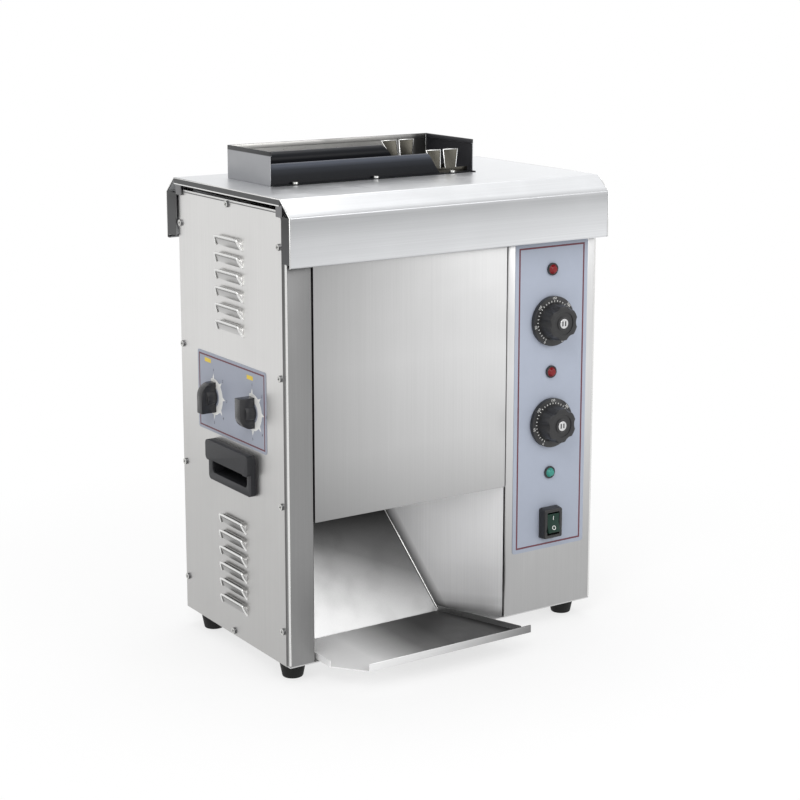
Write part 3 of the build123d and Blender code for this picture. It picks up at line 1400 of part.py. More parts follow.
with BuildPart() as discharge_deflector:
    with BuildSketch(Plane(origin=deflector_start, x_dir=along, z_dir=behind)):
        with Locations((deflector_length / 2, deflector_lift / 2)):
            Rectangle(deflector_length, deflector_lift)
    extrude(amount=sheet)
    with BuildSketch(shed_plane):
        with BuildLine():
            Polyline(on_shed(deflector_start.X, deflector_start.Y), on_shed(deflector_end.X, deflector_end.Y),
                     on_shed(deflector_end.X, shed_back_y), on_shed(shed_right_x, shed_back_y),
                     on_shed(shed_right_x, deflector_start.Y), close=True)
        make_face()
    extrude(amount=-sheet)
    slab((column_left_x - sheet - slip, right_x), (front_y, front_y + return_depth + slip),
         (pan_z, cover_top_z), mode=Mode.SUBTRACT)
    slab((left_x, right_x), (front_y, front_y + cover_return + slip), (cover_bottom_z - slip, cover_top_z),
         mode=Mode.SUBTRACT)
discharge_deflector.part.label = "discharge_deflector"
export_step(discharge_deflector.part, "parts/discharge_deflector.step")

# Landing tray: a floor with an upturned front lip, a cut corner and side flanges
tray_z = pan_z + slip
tray_left_x = post_right_x + tray_side_gap
tray_back_y = ramp_foot_y - tray_back_gap
tray_front_y = front_y - tray_reach
tray_right_back_x = deflector_start.X - deflector_run * (tray_back_y - front_y) - tray_side_gap
tray_right_x = column_left_x - tray_right_inset
tray_cut_x = tray_left_x + tray_corner_run
tray_cut_y = tray_front_y + tray_corner_depth
tray_tab_x = tray_right_x - tray_tab_width
tray_tab_y = tray_front_y + tray_tab_depth
with BuildPart() as landing_tray:
    with BuildSketch(level(tray_z)):
        with BuildLine():
            Polyline((tray_left_x, tray_back_y), (tray_left_x, tray_cut_y), (tray_cut_x, tray_front_y),
                     (tray_right_x, tray_front_y), (tray_right_x, tray_tab_y), (tray_tab_x, tray_tab_y),
                     (tray_right_back_x, tray_back_y), close=True)
        make_face()
    extrude(amount=sheet)
    slab((tray_cut_x, tray_right_x), (tray_front_y, tray_front_y + sheet), (tray_z, tray_z + tray_lip))
    slab((tray_left_x, tray_left_x + sheet), (tray_cut_y, tray_back_y), (tray_z, tray_z + tray_flange))
    with BuildSketch(level(tray_z)):
        with BuildLine():
            Polyline((tray_tab_x, tray_tab_y), (tray_right_back_x, tray_back_y),
                     (tray_right_back_x - sheet, tray_back_y), (tray_tab_x - sheet, tray_tab_y), close=True)
        make_face()
    extrude(amount=tray_flange)
landing_tray.part.label = "landing_tray"
export_step(landing_tray.part, "parts/landing_tray.step")

# Cable gland in the rear panel
with BuildPart() as cable_gland:
    with BuildSketch(facing(back_y)):
        with Locations((gland_x, gland_z)):
            RegularPolygon(gland_nut_width / 2, 6)
    extrude(amount=-gland_nut_height)
    with BuildSketch(facing(back_y)):
        with Locations((gland_x, gland_z)):
            Circle(gland_diameter / 2)
    extrude(amount=-gland_reach)
    with BuildSketch(facing(back_y)):
        with Locations((gland_x, gland_z)):
            Circle(gland_thread_diameter / 2)
    extrude(amount=gland_tail)
    with BuildSketch(facing(back_y - gland_tail)):
        with Locations((gland_x, gland_z)):
            Circle(gland_bore / 2)
    extrude(amount=-(gland_reach + gland_tail), mode=Mode.SUBTRACT)
cable_gland.part.label = "cable_gland"
export_step(cable_gland.part, "parts/cable_gland.step")

# Terminal block on the inside of the rear panel
with BuildPart() as terminal_block:
    block_ys = (back_y - sheet - terminal_depth, back_y - sheet)
    block_z = base_z + terminal_lift
    slab((gland_x - terminal_width / 2, gland_x + terminal_width / 2), block_ys,
         (block_z - terminal_height / 2, block_z + terminal_height / 2))
    way_width = terminal_width / terminal_ways
    groove = terminal_groove_share * way_width
    for i in range(terminal_ways):
        way_x = gland_x - terminal_width / 2 + (i + half_pitch_share) * way_width
        slab((way_x - groove / 2, way_x + groove / 2), (block_ys[0], block_ys[0] + terminal_depth / 2),
             (block_z - terminal_height / 2, block_z + terminal_height / 2), mode=Mode.SUBTRACT)
terminal_block.part.label = "terminal_block"
export_step(terminal_block.part, "parts/terminal_block.step")
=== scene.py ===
import json
import math

import bpy
from mathutils import Matrix, Vector


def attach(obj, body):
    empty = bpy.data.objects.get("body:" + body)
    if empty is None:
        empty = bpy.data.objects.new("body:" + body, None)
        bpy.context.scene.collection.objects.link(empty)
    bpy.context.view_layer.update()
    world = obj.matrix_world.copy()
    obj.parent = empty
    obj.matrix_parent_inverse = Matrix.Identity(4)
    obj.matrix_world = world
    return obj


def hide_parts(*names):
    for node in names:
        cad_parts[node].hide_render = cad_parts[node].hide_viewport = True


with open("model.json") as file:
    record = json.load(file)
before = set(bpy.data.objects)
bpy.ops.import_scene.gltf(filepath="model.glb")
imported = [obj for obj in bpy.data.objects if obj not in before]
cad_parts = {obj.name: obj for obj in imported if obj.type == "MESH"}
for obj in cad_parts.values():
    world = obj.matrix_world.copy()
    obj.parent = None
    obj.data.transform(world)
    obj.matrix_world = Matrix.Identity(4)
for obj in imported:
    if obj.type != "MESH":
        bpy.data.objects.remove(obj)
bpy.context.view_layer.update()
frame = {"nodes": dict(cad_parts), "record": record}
nodes = frame["nodes"]

# Lengths are in mm and turns in radians, unless a comment says otherwise
MM = 0.001
QUARTER = math.radians(90)
FRONT, LEFT = (QUARTER, 0, 0), (0, -QUARTER, 0)
SHARP_EDGE = math.radians(35)  # edges sharper than this are rounded
FLAT_EDGE = math.radians(1)  # edges flatter than this are dissolved
WELD = 0.01  # corners closer than this are merged
PRINT_DEPTH = 0.12
FACING = 0.7  # least share of a normal along an axis for a face that looks along it

# Places on the solids that the pieces below meet
MIDDLE_X, COVER_REACH = 4.15, 200.0
LOUVER_Y, LOUVER_ZS = 17.35, [top - 18.2 * i for top in (453.0, 148.0) for i in range(6)]
CONTROL_X, OVERLAY_Y, CONTROL_FILM_Z = 141.8, -98.65, 266.0
UPPER_LAMP_Z, UPPER_DIAL_Z, LOWER_LAMP_Z = 410.0, 352.4, 294.8
LOWER_DIAL_Z, GREEN_LAMP_Z, SWITCH_Z = 237.2, 179.6, 122.0
SKIRT_Y, TIP_Y = -103.95, -120.95
SIDE_X, SIDE_FILM_Z = -196.35, 283.5
FRONT_KNOB_Y, REAR_KNOB_Y, KNOB_Z = -28.505, 56.5, 280.0


def at(x, y, z):
    """A place given in mm."""
    return Vector((x, y, z)) * MM


def about(place, angle, axis):
    """A turn about an axis through a place."""
    return Matrix.Translation(place) @ Matrix.Rotation(angle, 4, axis) @ Matrix.Translation(-place)


def both_sides(reach):
    """The places at the left and right that lie equally far from the middle of the case."""
    return MIDDLE_X - reach, MIDDLE_X + reach


# Selecting and editing
def deselect():
    """Leaves edit mode with nothing selected."""
    if bpy.context.mode != "OBJECT":
        bpy.ops.object.mode_set(mode="OBJECT")
    bpy.ops.object.select_all(action="DESELECT")


def only(piece):
    """Makes a piece the one that is selected and active."""
    deselect()
    piece.select_set(True)
    bpy.context.view_layer.objects.active = piece
    return piece


def settle(piece):
    """Puts a piece's place and turn into its mesh."""
    only(piece)
    bpy.ops.object.transform_apply(location=True, rotation=True, scale=True)
    return piece


def edit_all(piece):
    """Opens a piece in edit mode with all of it selected."""
    only(piece)
    bpy.ops.object.mode_set(mode="EDIT")
    bpy.ops.mesh.select_all(action="SELECT")


def edit_faces(piece, test):
    """Opens a piece in edit mode with the faces selected whose normal passes a test."""
    only(piece)
    bpy.ops.object.mode_set(mode="EDIT")
    bpy.ops.mesh.select_mode(type="FACE")
    bpy.ops.mesh.select_all(action="DESELECT")
    bpy.ops.object.mode_set(mode="OBJECT")
    for face in piece.data.polygons:
        face.select = test(face.normal)
    bpy.ops.object.mode_set(mode="EDIT")


def edit_done():
    """Goes back to object mode."""
    bpy.ops.object.mode_set(mode="OBJECT")


# Making and shaping pieces
def bevel(piece, width, segments=2):
    """Rounds the sharp edges of a piece by a bevel modifier that is applied."""
    only(piece)
    rounding = piece.modifiers.new("edge_round", "BEVEL")
    rounding.width = width * MM
    rounding.segments = segments
    rounding.limit_method = "ANGLE"
    rounding.angle_limit = SHARP_EDGE
    rounding.use_clamp_overlap = True
    rounding.harden_normals = True
    bpy.ops.object.shade_smooth()
    bpy.ops.object.modifier_apply(modifier=rounding.name)
    return piece


def cut(piece, tool):
    """Takes one piece's shape out of another by a boolean that is applied."""
    only(piece)
    difference = piece.modifiers.new("cut", "BOOLEAN")
    difference.operation = "DIFFERENCE"
    difference.solver = "EXACT"
    difference.object = tool
    bpy.ops.object.modifier_apply(modifier=difference.name)
    bpy.data.objects.remove(tool)
    return piece


def block(name, low, high):
    """A block between two corners."""
    deselect()
    low, high = at(*low), at(*high)
    bpy.ops.mesh.primitive_cube_add(size=1, location=(low + high) / 2)
    piece = bpy.context.active_object
    piece.name = name
    piece.scale = high - low
    return settle(piece)


def drum(name, radius, depth, place, turn=(0, 0, 0), sides=48):
    """A short cylinder with its axis turned from Z."""
    deselect()
    bpy.ops.mesh.primitive_cylinder_add(vertices=sides, radius=radius * MM, depth=depth * MM,
                                        location=at(*place), rotation=turn)
    piece = bpy.context.active_object
    piece.name = name
    return settle(piece)


def ring(name, outer, inner, depth, place, turn):
    """A flat ring."""
    piece = drum(name, outer, depth, place, turn, sides=64)
    return cut(piece, drum("bore", inner, 2 * depth, place, turn, sides=64))


def outline_frame(name, place, width, height, line, turn):
    """A thin printed border: an inset plane with its middle taken out."""
    deselect()
    bpy.ops.mesh.primitive_plane_add(size=1, location=at(*place), rotation=turn)
    piece = bpy.context.active_object
    piece.name = name
    piece.scale = (width * MM, height * MM, 1)
    edit_all(settle(piece))
    bpy.ops.mesh.inset(thickness=line * MM)
    bpy.ops.mesh.delete(type="FACE")
    edit_done()
    skin = piece.modifiers.new("skin", "SOLIDIFY")
    skin.thickness = PRINT_DEPTH * MM
    skin.offset = 1
    bpy.ops.object.modifier_apply(modifier=skin.name)
    return piece


def figure(name, text, size, place, turn):
    """A printed number or sign as a thin raised mesh."""
    deselect()
    bpy.ops.object.text_add(location=at(*place), rotation=turn)
    piece = bpy.context.active_object
    piece.name = name
    piece.data.body = text
    piece.data.size = size * MM
    piece.data.align_x = "CENTER"
    piece.data.align_y = "CENTER"
    piece.data.extrude = PRINT_DEPTH / 2 * MM
    piece.data.resolution_u = 3
    bpy.ops.object.convert(target="MESH")
    return settle(bpy.context.active_object)


def bead(name, points, radius, smooth=False):
    """A round bead through five or more places, in straight runs or as a smooth line."""
    deselect()
    bpy.ops.curve.primitive_nurbs_path_add()
    piece = bpy.context.active_object
    piece.name = name
    path = piece.data.splines[0]
    path.points.add(len(points) - len(path.points))
    for point, spot in zip(path.points, points):
        point.co = (*at(*spot), 1)
    if smooth:
        path.order_u = 3
        path.use_endpoint_u = True
        path.resolution_u = 6
    else:
        path.type = "POLY"
    piece.data.bevel_depth = radius * MM
    piece.data.bevel_resolution = 2
    piece.data.use_fill_caps = True
    bpy.ops.object.convert(target="MESH")
    return settle(bpy.context.active_object)


def run(start, end):
    """Five even places from start to end, as a straight bead takes them."""
    return [tuple(a + (b - a) * i / 4 for a, b in zip(start, end)) for i in range(5)]


def joined(name, pieces):
    """Several pieces as one object."""
    deselect()
    for piece in pieces:
        piece.select_set(True)
    bpy.context.view_layer.objects.active = pieces[0]
    bpy.ops.object.join()
    pieces[0].name = name
    pieces[0].data.name = name
    return pieces[0]


def twin(piece, name, matrix):
    """A copy of a piece, with its own mesh, moved by a matrix."""
    other = bpy.data.objects.new(name, piece.data.copy())
    bpy.context.scene.collection.objects.link(other)
    other.data.transform(matrix)
    return other


def softened(node, width):
    """A merged copy of a solid with rounded edges, which is shown in its place."""
    piece = bpy.data.objects.new(node + "_softened", nodes[node].data.copy())
    bpy.context.scene.collection.objects.link(piece)
    edit_all(piece)
    bpy.ops.mesh.remove_doubles(threshold=WELD * MM)
    bpy.ops.mesh.dissolve_limited(angle_limit=FLAT_EDGE)
    edit_done()
    return bevel(piece, width)


def dress(piece, material, body):
    """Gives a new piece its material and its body."""
    piece.data.materials.clear()
    piece.data.materials.append(material)
    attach(piece, body)
    return piece


def body_of(node):
    """The body that a solid belongs to."""
    for body, members in frame["record"]["behaviour"]["bodies"].items():
        if node in members:
            return body


def repaint(piece, material, test):
    """Gives the faces that pass a test, by their middle in mm and their normal, another material."""
    piece.data.materials.append(material)
    for face in piece.data.polygons:
        if test(face.center / MM, face.normal):
            face.material_index = len(piece.data.materials) - 1


# Shader nodes
def math_node(tree, operation, a, b):
    """The result of an operation on two values, each a number or a socket."""
    node = tree.nodes.new("ShaderNodeMath")
    node.operation = operation
    for socket, value in zip(node.inputs, (a, b)):
        if isinstance(value, (int, float)):
            socket.default_value = value
        else:
            tree.links.new(value, socket)
    return node.outputs[0]


def noise_node(tree, scale, detail, rough=0.5):
    """A noise, with its place still to be linked."""
    node = tree.nodes.new("ShaderNodeTexNoise")
    node.inputs["Scale"].default_value = scale
    node.inputs["Detail"].default_value = detail
    node.inputs["Roughness"].default_value = rough
    return node


def window_node(tree, value, ends):
    """A value mapped to 0 and 1 at two ends."""
    node = tree.nodes.new("ShaderNodeMapRange")
    node.inputs["From Min"].default_value, node.inputs["From Max"].default_value = ends
    tree.links.new(value, node.inputs["Value"])
    return node.outputs["Result"]


def spread(tree, value, low, high):
    """A value from 0 to 1 stretched between two numbers."""
    node = tree.nodes.new("ShaderNodeMapRange")
    node.inputs["To Min"].default_value = low
    node.inputs["To Max"].default_value = high
    tree.links.new(value, node.inputs["Value"])
    return node.outputs["Result"]


def colour_sockets(sockets):
    """The sockets of a node that carry a colour."""
    return [socket for socket in sockets if socket.type == "RGBA"]


def mixed(tree, factor, dark, light):
    """A colour between two, each a colour or a socket, by a factor."""
    node = tree.nodes.new("ShaderNodeMix")
    node.data_type = "RGBA"
    tree.links.new(factor, node.inputs["Factor"])
    for socket, colour in zip(colour_sockets(node.inputs), (dark, light)):
        if isinstance(colour, tuple):
            socket.default_value = (*colour, 1)
        else:
            tree.links.new(colour, socket)
    return colour_sockets(node.outputs)[0]


def toned(tree, place, colour, axis, stops, middle=None):
    """A colour times a grey that drifts along a direction, or away from a middle: painted light and
    shade.

    The stops are pairs of a place and a factor."""
    parts = tree.nodes.new("ShaderNodeVectorMath")
    parts.operation = "DOT_PRODUCT"
    parts.inputs[1].default_value = axis
    tree.links.new(place, parts.inputs[0])
    along = parts.outputs["Value"]
    if middle is not None:
        along = math_node(tree, "ABSOLUTE", math_node(tree, "SUBTRACT", along, middle * MM), 0.0)
    first, last = stops[0][0], stops[-1][0]
    ramp = tree.nodes.new("ShaderNodeValToRGB")
    points = ramp.color_ramp.elements
    while len(points) < len(stops):
        points.new(0.5)
    for point, (spot, factor) in zip(points, stops):
        point.position = (spot - first) / (last - first)
        point.color = (factor, factor, factor, 1)
    tree.links.new(window_node(tree, along, (first * MM, last * MM)), ramp.inputs["Fac"])
    product = tree.nodes.new("ShaderNodeMix")
    product.data_type = "RGBA"
    product.blend_type = "MULTIPLY"
    product.inputs["Factor"].default_value = 1.0
    left, right = colour_sockets(product.inputs)
    tree.links.new(colour, left)
    tree.links.new(ramp.outputs["Color"], right)
    return colour_sockets(product.outputs)[0]


def with_painted_shading(tree, place, colour, painted_shading):
    """A colour with each of its drifts of painted light and shade."""
    for shading_drift in painted_shading:
        colour = toned(tree, place, colour, *shading_drift)
    return colour


def bumped(tree, shader, height, strength, distance=0.2):
    """Gives a shader a fine relief, with its depth in mm."""
    node = tree.nodes.new("ShaderNodeBump")
    node.inputs["Strength"].default_value = strength
    node.inputs["Distance"].default_value = distance * MM
    tree.links.new(height, node.inputs["Height"])
    tree.links.new(node.outputs["Normal"], shader.inputs["Normal"])


# Shader groups that several finishes share
VECTOR, FLOAT = "NodeSocketVector", "NodeSocketFloat"


def group(name, inputs, outputs):
    """An empty shader group, with its sockets given as a label and a kind."""
    tree = bpy.data.node_groups.new(name, "ShaderNodeTree")
    for way, sockets in (("INPUT", inputs), ("OUTPUT", outputs)):
        for label, kind in sockets.items():
            tree.interface.new_socket(name=label, in_out=way, socket_type=kind)
    return tree, tree.nodes.new("NodeGroupInput"), tree.nodes.new("NodeGroupOutput")


def brushed_group():
    """Fine drawn lines along the sheet, with slow cloudy tone."""
    tree, start, end = group("brushed_lines", {"Lines At": VECTOR, "Place": VECTOR},
                             {"Lines": FLOAT, "Clouds": FLOAT})
    lines = noise_node(tree, scale=1.0, detail=3.0, rough=0.6)
    clouds = noise_node(tree, scale=9.0, detail=2.0)
    tree.links.new(start.outputs["Lines At"], lines.inputs["Vector"])
    tree.links.new(start.outputs["Place"], clouds.inputs["Vector"])
    tree.links.new(lines.outputs["Fac"], end.inputs["Lines"])
    tree.links.new(clouds.outputs["Fac"], end.inputs["Clouds"])
    return tree


def marks_group():
    """Faint smears and specks from handling."""
    tree, start, end = group("handling_marks", {"Place": VECTOR}, {"Smears": FLOAT, "Specks": FLOAT})
    smears = noise_node(tree, scale=22.0, detail=5.0, rough=0.62)
    specks = noise_node(tree, scale=420.0, detail=2.0, rough=0.7)
    for noise, target, ends in ((smears, "Smears", (0.48, 0.72)), (specks, "Specks", (0.66, 0.8))):
        tree.links.new(start.outputs["Place"], noise.inputs["Vector"])
        tree.links.new(window_node(tree, noise.outputs["Fac"], ends), end.inputs[target])
    return tree


def moulded_group():
    """The fine spark-eroded grain of moulded plastic and rubber, and dust."""
    tree, start, end = group("moulded_grain", {"Place": VECTOR, "Size": FLOAT},
                             {"Grain": FLOAT, "Dust": FLOAT})
    grain = noise_node(tree, scale=900.0, detail=3.0, rough=0.6)
    dust = noise_node(tree, scale=60.0, detail=4.0, rough=0.65)
    tree.links.new(start.outputs["Place"], grain.inputs["Vector"])
    tree.links.new(start.outputs["Size"], grain.inputs["Scale"])
    tree.links.new(start.outputs["Place"], dust.inputs["Vector"])
    tree.links.new(grain.outputs["Fac"], end.inputs["Grain"])
    tree.links.new(dust.outputs["Fac"], end.inputs["Dust"])
    return tree


BRUSHED = brushed_group()
MARKS = marks_group()
MOULDED = moulded_group()


def use(tree, shared, place):
    """A shared group in a finish, fed with the place on the piece."""
    node = tree.nodes.new("ShaderNodeGroup")
    node.node_tree = shared
    tree.links.new(place, node.inputs["Place"])
    return node


def use_moulded(tree, place, size):
    """The moulded grain in a finish, at a size of its own."""
    node = use(tree, MOULDED, place)
    node.inputs["Size"].default_value = size
    return node


def shaded(colour, factor):
    """A colour made darker or lighter by a factor."""
    return tuple(min(1.0, c * factor) for c in colour)


# Kinds of finish. Sheet has a scale of its drawn lines along and across, clouds and dulling smears
LINES_ALONG, LINES_ACROSS = 6.0, 1500.0
CLOUD_SHARE, CLOUD_TONE, SMEAR_DULLING = 0.35, 0.86, 0.07
LENS_GLOSS, WEAVE_SCALE, SPECKLED_METAL, STAIN_TONE, INK_DRIFT = 0.3, 160.0, 0.5, 0.6, 0.04


def finish_base(name):
    """A new material, its nodes, its shader and the place on the piece."""
    material = bpy.data.materials.new(name)
    material.use_nodes = True
    tree = material.node_tree
    place = tree.nodes.new("ShaderNodeTexCoord").outputs["Object"]
    return material, tree, tree.nodes["Principled BSDF"], place


def sheet_steel(name, colour, along, rough=(0.26, 0.4), tone=0.12, relief=0.08, metal=1.0, painted_shading=(),
                glancing=False):
    """Brushed stainless sheet.

    The drawn lines follow the axis along, and glancing tints low reflections too with the colour and
    its painted shade."""
    material, tree, shader, place = finish_base(name)
    shader.inputs["Metallic"].default_value = metal
    stretch = tree.nodes.new("ShaderNodeMapping")
    stretch.inputs["Scale"].default_value = [LINES_ALONG if axis == along else LINES_ACROSS
                                             for axis in "XYZ"]
    tree.links.new(place, stretch.inputs["Vector"])
    brushed = use(tree, BRUSHED, place)
    tree.links.new(stretch.outputs["Vector"], brushed.inputs["Lines At"])
    lines = brushed.outputs["Lines"]
    drawn = mixed(tree, lines, shaded(colour, 1 - tone), shaded(colour, 1 + tone))
    clouds = spread(tree, brushed.outputs["Clouds"], low=0.0, high=CLOUD_SHARE)
    shown = with_painted_shading(tree, place, mixed(tree, clouds, drawn, shaded(colour, CLOUD_TONE)), painted_shading)
    tree.links.new(shown, shader.inputs["Base Color"])
    if glancing:
        tree.links.new(shown, shader.inputs["Specular Tint"])
    smears = math_node(tree, "MULTIPLY", use(tree, MARKS, place).outputs["Smears"], SMEAR_DULLING)
    dullness = math_node(tree, "ADD", spread(tree, lines, *rough), smears)
    tree.links.new(dullness, shader.inputs["Roughness"])
    bumped(tree, shader, lines, relief)
    return material


def moulded(name, colour, rough=(0.38, 0.5), relief=0.18, dusty=0.06, gloss=0.5, painted_shading=()):
    """Moulded plastic, rubber or a satin coating."""
    material, tree, shader, place = finish_base(name)
    shader.inputs["Specular IOR Level"].default_value = gloss
    skin = use_moulded(tree, place, size=900.0)
    dust = spread(tree, skin.outputs["Dust"], low=0.0, high=0.6)
    pale = tuple(min(1.0, c + dusty) for c in colour)
    tree.links.new(with_painted_shading(tree, place, mixed(tree, dust, colour, pale), painted_shading),
                   shader.inputs["Base Color"])
    tree.links.new(spread(tree, skin.outputs["Grain"], *rough), shader.inputs["Roughness"])
    bumped(tree, shader, skin.outputs["Grain"], relief)
    return material


def lens(name, colour, pale):
    """A tinted lamp lens with a faint moulded ripple."""
    material, tree, shader, place = finish_base(name)
    shader.inputs["Specular IOR Level"].default_value = LENS_GLOSS
    ripple = use_moulded(tree, place, size=500.0)
    tree.links.new(mixed(tree, ripple.outputs["Dust"], colour, pale), shader.inputs["Base Color"])
    tree.links.new(spread(tree, ripple.outputs["Grain"], low=0.1, high=0.2), shader.inputs["Roughness"])
    bumped(tree, shader, ripple.outputs["Grain"], strength=0.1, distance=0.3)
    return material


def woven(name, colour, pale):
    """Coated glass cloth: a fine plain weave under a smooth coat."""
    material, tree, shader, place = finish_base(name)
    bands = []
    for axis in ("X", "Z"):
        wave = tree.nodes.new("ShaderNodeTexWave")
        wave.bands_direction = axis
        wave.inputs["Scale"].default_value = WEAVE_SCALE
        tree.links.new(place, wave.inputs["Vector"])
        bands.append(wave.outputs["Fac"])
    weave = math_node(tree, "MULTIPLY", *bands)
    tree.links.new(mixed(tree, weave, colour, pale), shader.inputs["Base Color"])
    tree.links.new(spread(tree, weave, low=0.45, high=0.6), shader.inputs["Roughness"])
    bumped(tree, shader, weave, strength=0.3, distance=0.4)
    return material


def speckled(name, colour, fleck, painted_shading=()):
    """Sheet with dark flecks and darker smears."""
    material, tree, shader, place = finish_base(name)
    shader.inputs["Metallic"].default_value = SPECKLED_METAL
    marks = use(tree, MARKS, place)
    smears, specks = marks.outputs["Smears"], marks.outputs["Specks"]
    stains = spread(tree, smears, low=0.0, high=0.7)
    stained = mixed(tree, stains, colour, shaded(colour, STAIN_TONE))
    tree.links.new(with_painted_shading(tree, place, mixed(tree, specks, stained, fleck), painted_shading),
                   shader.inputs["Base Color"])
    tree.links.new(spread(tree, smears, low=0.34, high=0.55), shader.inputs["Roughness"])
    bumped(tree, shader, specks, strength=0.15)
    return material


def printed(name, colour, painted_shading=()):
    """Printed film or ink, slightly uneven."""
    material, tree, shader, place = finish_base(name)
    skin = use_moulded(tree, place, size=1400.0)
    dark, light = shaded(colour, 1 - INK_DRIFT), shaded(colour, 1 + INK_DRIFT)
    ink = mixed(tree, skin.outputs["Dust"], dark, light)
    tree.links.new(with_painted_shading(tree, place, ink, painted_shading), shader.inputs["Base Color"])
    tree.links.new(spread(tree, skin.outputs["Grain"], low=0.39, high=0.51), shader.inputs["Roughness"])
    bumped(tree, shader, skin.outputs["Grain"], strength=0.05, distance=0.1)
    return material


# Finishes, with painted light and shade that drifts along an axis, down the ramp or away from it
ALONG_X, ALONG_Z = (1, 0, 0), (0, 0, 1)
DOWN_RAMP, FROM_RAMP = (0.417, 0, 1), (0.942, 0, 0.336)
# Side covers: painted shade low down and on louver hood faces, a painted highlight on the hood lips
side_steel = sheet_steel("side_cover_steel", (0.71, 0.705, 0.695), "Z", painted_shading=[
    (ALONG_Z, [(60, 0.70), (200, 0.76), (330, 0.98), (500, 1.0)]),
    (ALONG_X, [(199.8, 1.0), (200.2, 1.0), (200.5, 0.82), (203.9, 0.66), (204.3, 1.1), (204.6, 1.1)],
     MIDDLE_X)])
# Lid: painted shade on the front flange and both end faces; painted highlight just inside the right end
lid_steel = sheet_steel("lid_steel", (0.74, 0.75, 0.765), "X", painted_shading=[
    (ALONG_Z, [(440, 0.94), (470, 0.78), (489, 0.58), (494, 0.75), (497, 1.0), (510, 1.0)]),
    (ALONG_X, [(-198.9, 0.1), (-197.65, 0.1), (-197.5, 0.92), (0, 1.0), (205.8, 1.1), (206.0, 0.3),
               (207.15, 0.3)])])
# Front cover: painted light and shade, darker to the bottom, top and left, lighter to the right
door_steel = sheet_steel("front_cover_steel", (0.68, 0.68, 0.68), "Z", tone=0.1, painted_shading=[
    (ALONG_Z, [(172, 0.68), (240, 0.9), (330, 1.0), (400, 0.93), (440, 0.84)]),
    (ALONG_X, [(-160, 0.68), (-60, 0.9), (40, 1.04), (83, 1.1)])])
# Front post: dark grey with painted shade towards the top, standing in for its dark reflection
post_steel = sheet_steel("post_steel", (0.36, 0.36, 0.36), "Z", rough=(0.34, 0.46), painted_shading=[
    (ALONG_Z, [(20, 0.85), (300, 0.75), (420, 0.5), (440, 0.45)])])
# Control column: painted shade, darker towards the bottom and the top
column_steel = sheet_steel("column_steel", (0.7, 0.7, 0.7), "Z", painted_shading=[
    (ALONG_Z, [(20, 0.65), (90, 0.66), (150, 0.77), (240, 0.95), (300, 1.0), (380, 0.87),
               (440, 0.75)])])
case_steel = sheet_steel("case_steel", (0.62, 0.62, 0.62), "X")
# Tray: painted reflection and shade, pale at the left, near black at the right; it tints reflections
# too
tray_steel = sheet_steel("tray_steel", (0.95, 0.95, 0.95), "X", rough=(0.3, 0.42), metal=0.05,
                         glancing=True, painted_shading=[
    (ALONG_X, [(-160, 1.0), (-112, 1.0), (-85, 0.62), (-50, 0.18), (-15, 0.055), (80, 0.03)])])
# Tray lip and right rim: a painted reflection, darker towards the right
lip_steel = sheet_steel("lip_steel", (0.93, 0.93, 0.93), "X", painted_shading=[
    (ALONG_X, [(-136, 1.0), (-60, 0.8), (79, 0.24)])])
# Ramp: painted shade, darker down the ramp into the case
ramp_steel = sheet_steel("ramp_steel", (0.74, 0.74, 0.74), "Z", rough=(0.36, 0.5), painted_shading=[
    (DOWN_RAMP, [(-45, 0.8), (0, 0.68), (20, 0.54), (47, 0.32), (71, 0.14), (87, 0.1), (116, 0.06),
                 (160, 0.04)])])
# Deflector: painted shadow by the ramp's edge; painted shade low down, a painted highlight above it
deflector_steel = sheet_steel("deflector_steel", (0.84, 0.84, 0.845), "Z", rough=(0.34, 0.48),
                              metal=0.7, painted_shading=[
    (FROM_RAMP, [(36, 0.16), (39.5, 0.24), (42, 0.5), (46, 0.95), (60, 0.97), (135, 0.86)]),
    (ALONG_Z, [(20, 0.24), (25, 0.34), (34, 1.0), (45, 1.2), (75, 1.05), (190, 1.0)])])
# Chute's rear wall inside: pale with dark flecks, and painted shade darker towards the right end
chute_inside = speckled("chute_inside", (0.86, 0.85, 0.82), (0.1, 0.095, 0.085), painted_shading=[
    (ALONG_X, [(-150, 1.0), (-60, 0.76), (30, 0.6), (60, 0.45), (84, 0.32), (93, 0.06), (106, 0.05)])])
# Chute's right wall inside: near black, as painted shade
chute_shade = speckled("chute_shade", (0.035, 0.035, 0.04), (0.09, 0.085, 0.08))
# Chute: a band of painted shade along the top of its walls
chute_steel = sheet_steel("chute_steel", (0.36, 0.365, 0.38), "X", rough=(0.3, 0.42), painted_shading=[
    (ALONG_Z, [(510, 0.95), (541, 1.0), (541.8, 0.13), (546, 0.13)])])
# Guide tabs: near-black, a painted dark reflection on the steel
tab_steel = sheet_steel("tab_steel", (0.075, 0.071, 0.06), "Z", rough=(0.2, 0.34))
# Dark steel as painted shade: lines under the side covers' top edges, the lid's hem ends, screw head
# rims
painted_shade_steel = sheet_steel("painted_shade_steel", (0.2, 0.2, 0.205), "Z", rough=(0.3, 0.42))
# Dark steel as painted shade in the creases under the louver rims
crease_shade_steel = sheet_steel("crease_shade_steel", (0.3, 0.3, 0.295), "Y", rough=(0.34, 0.46))
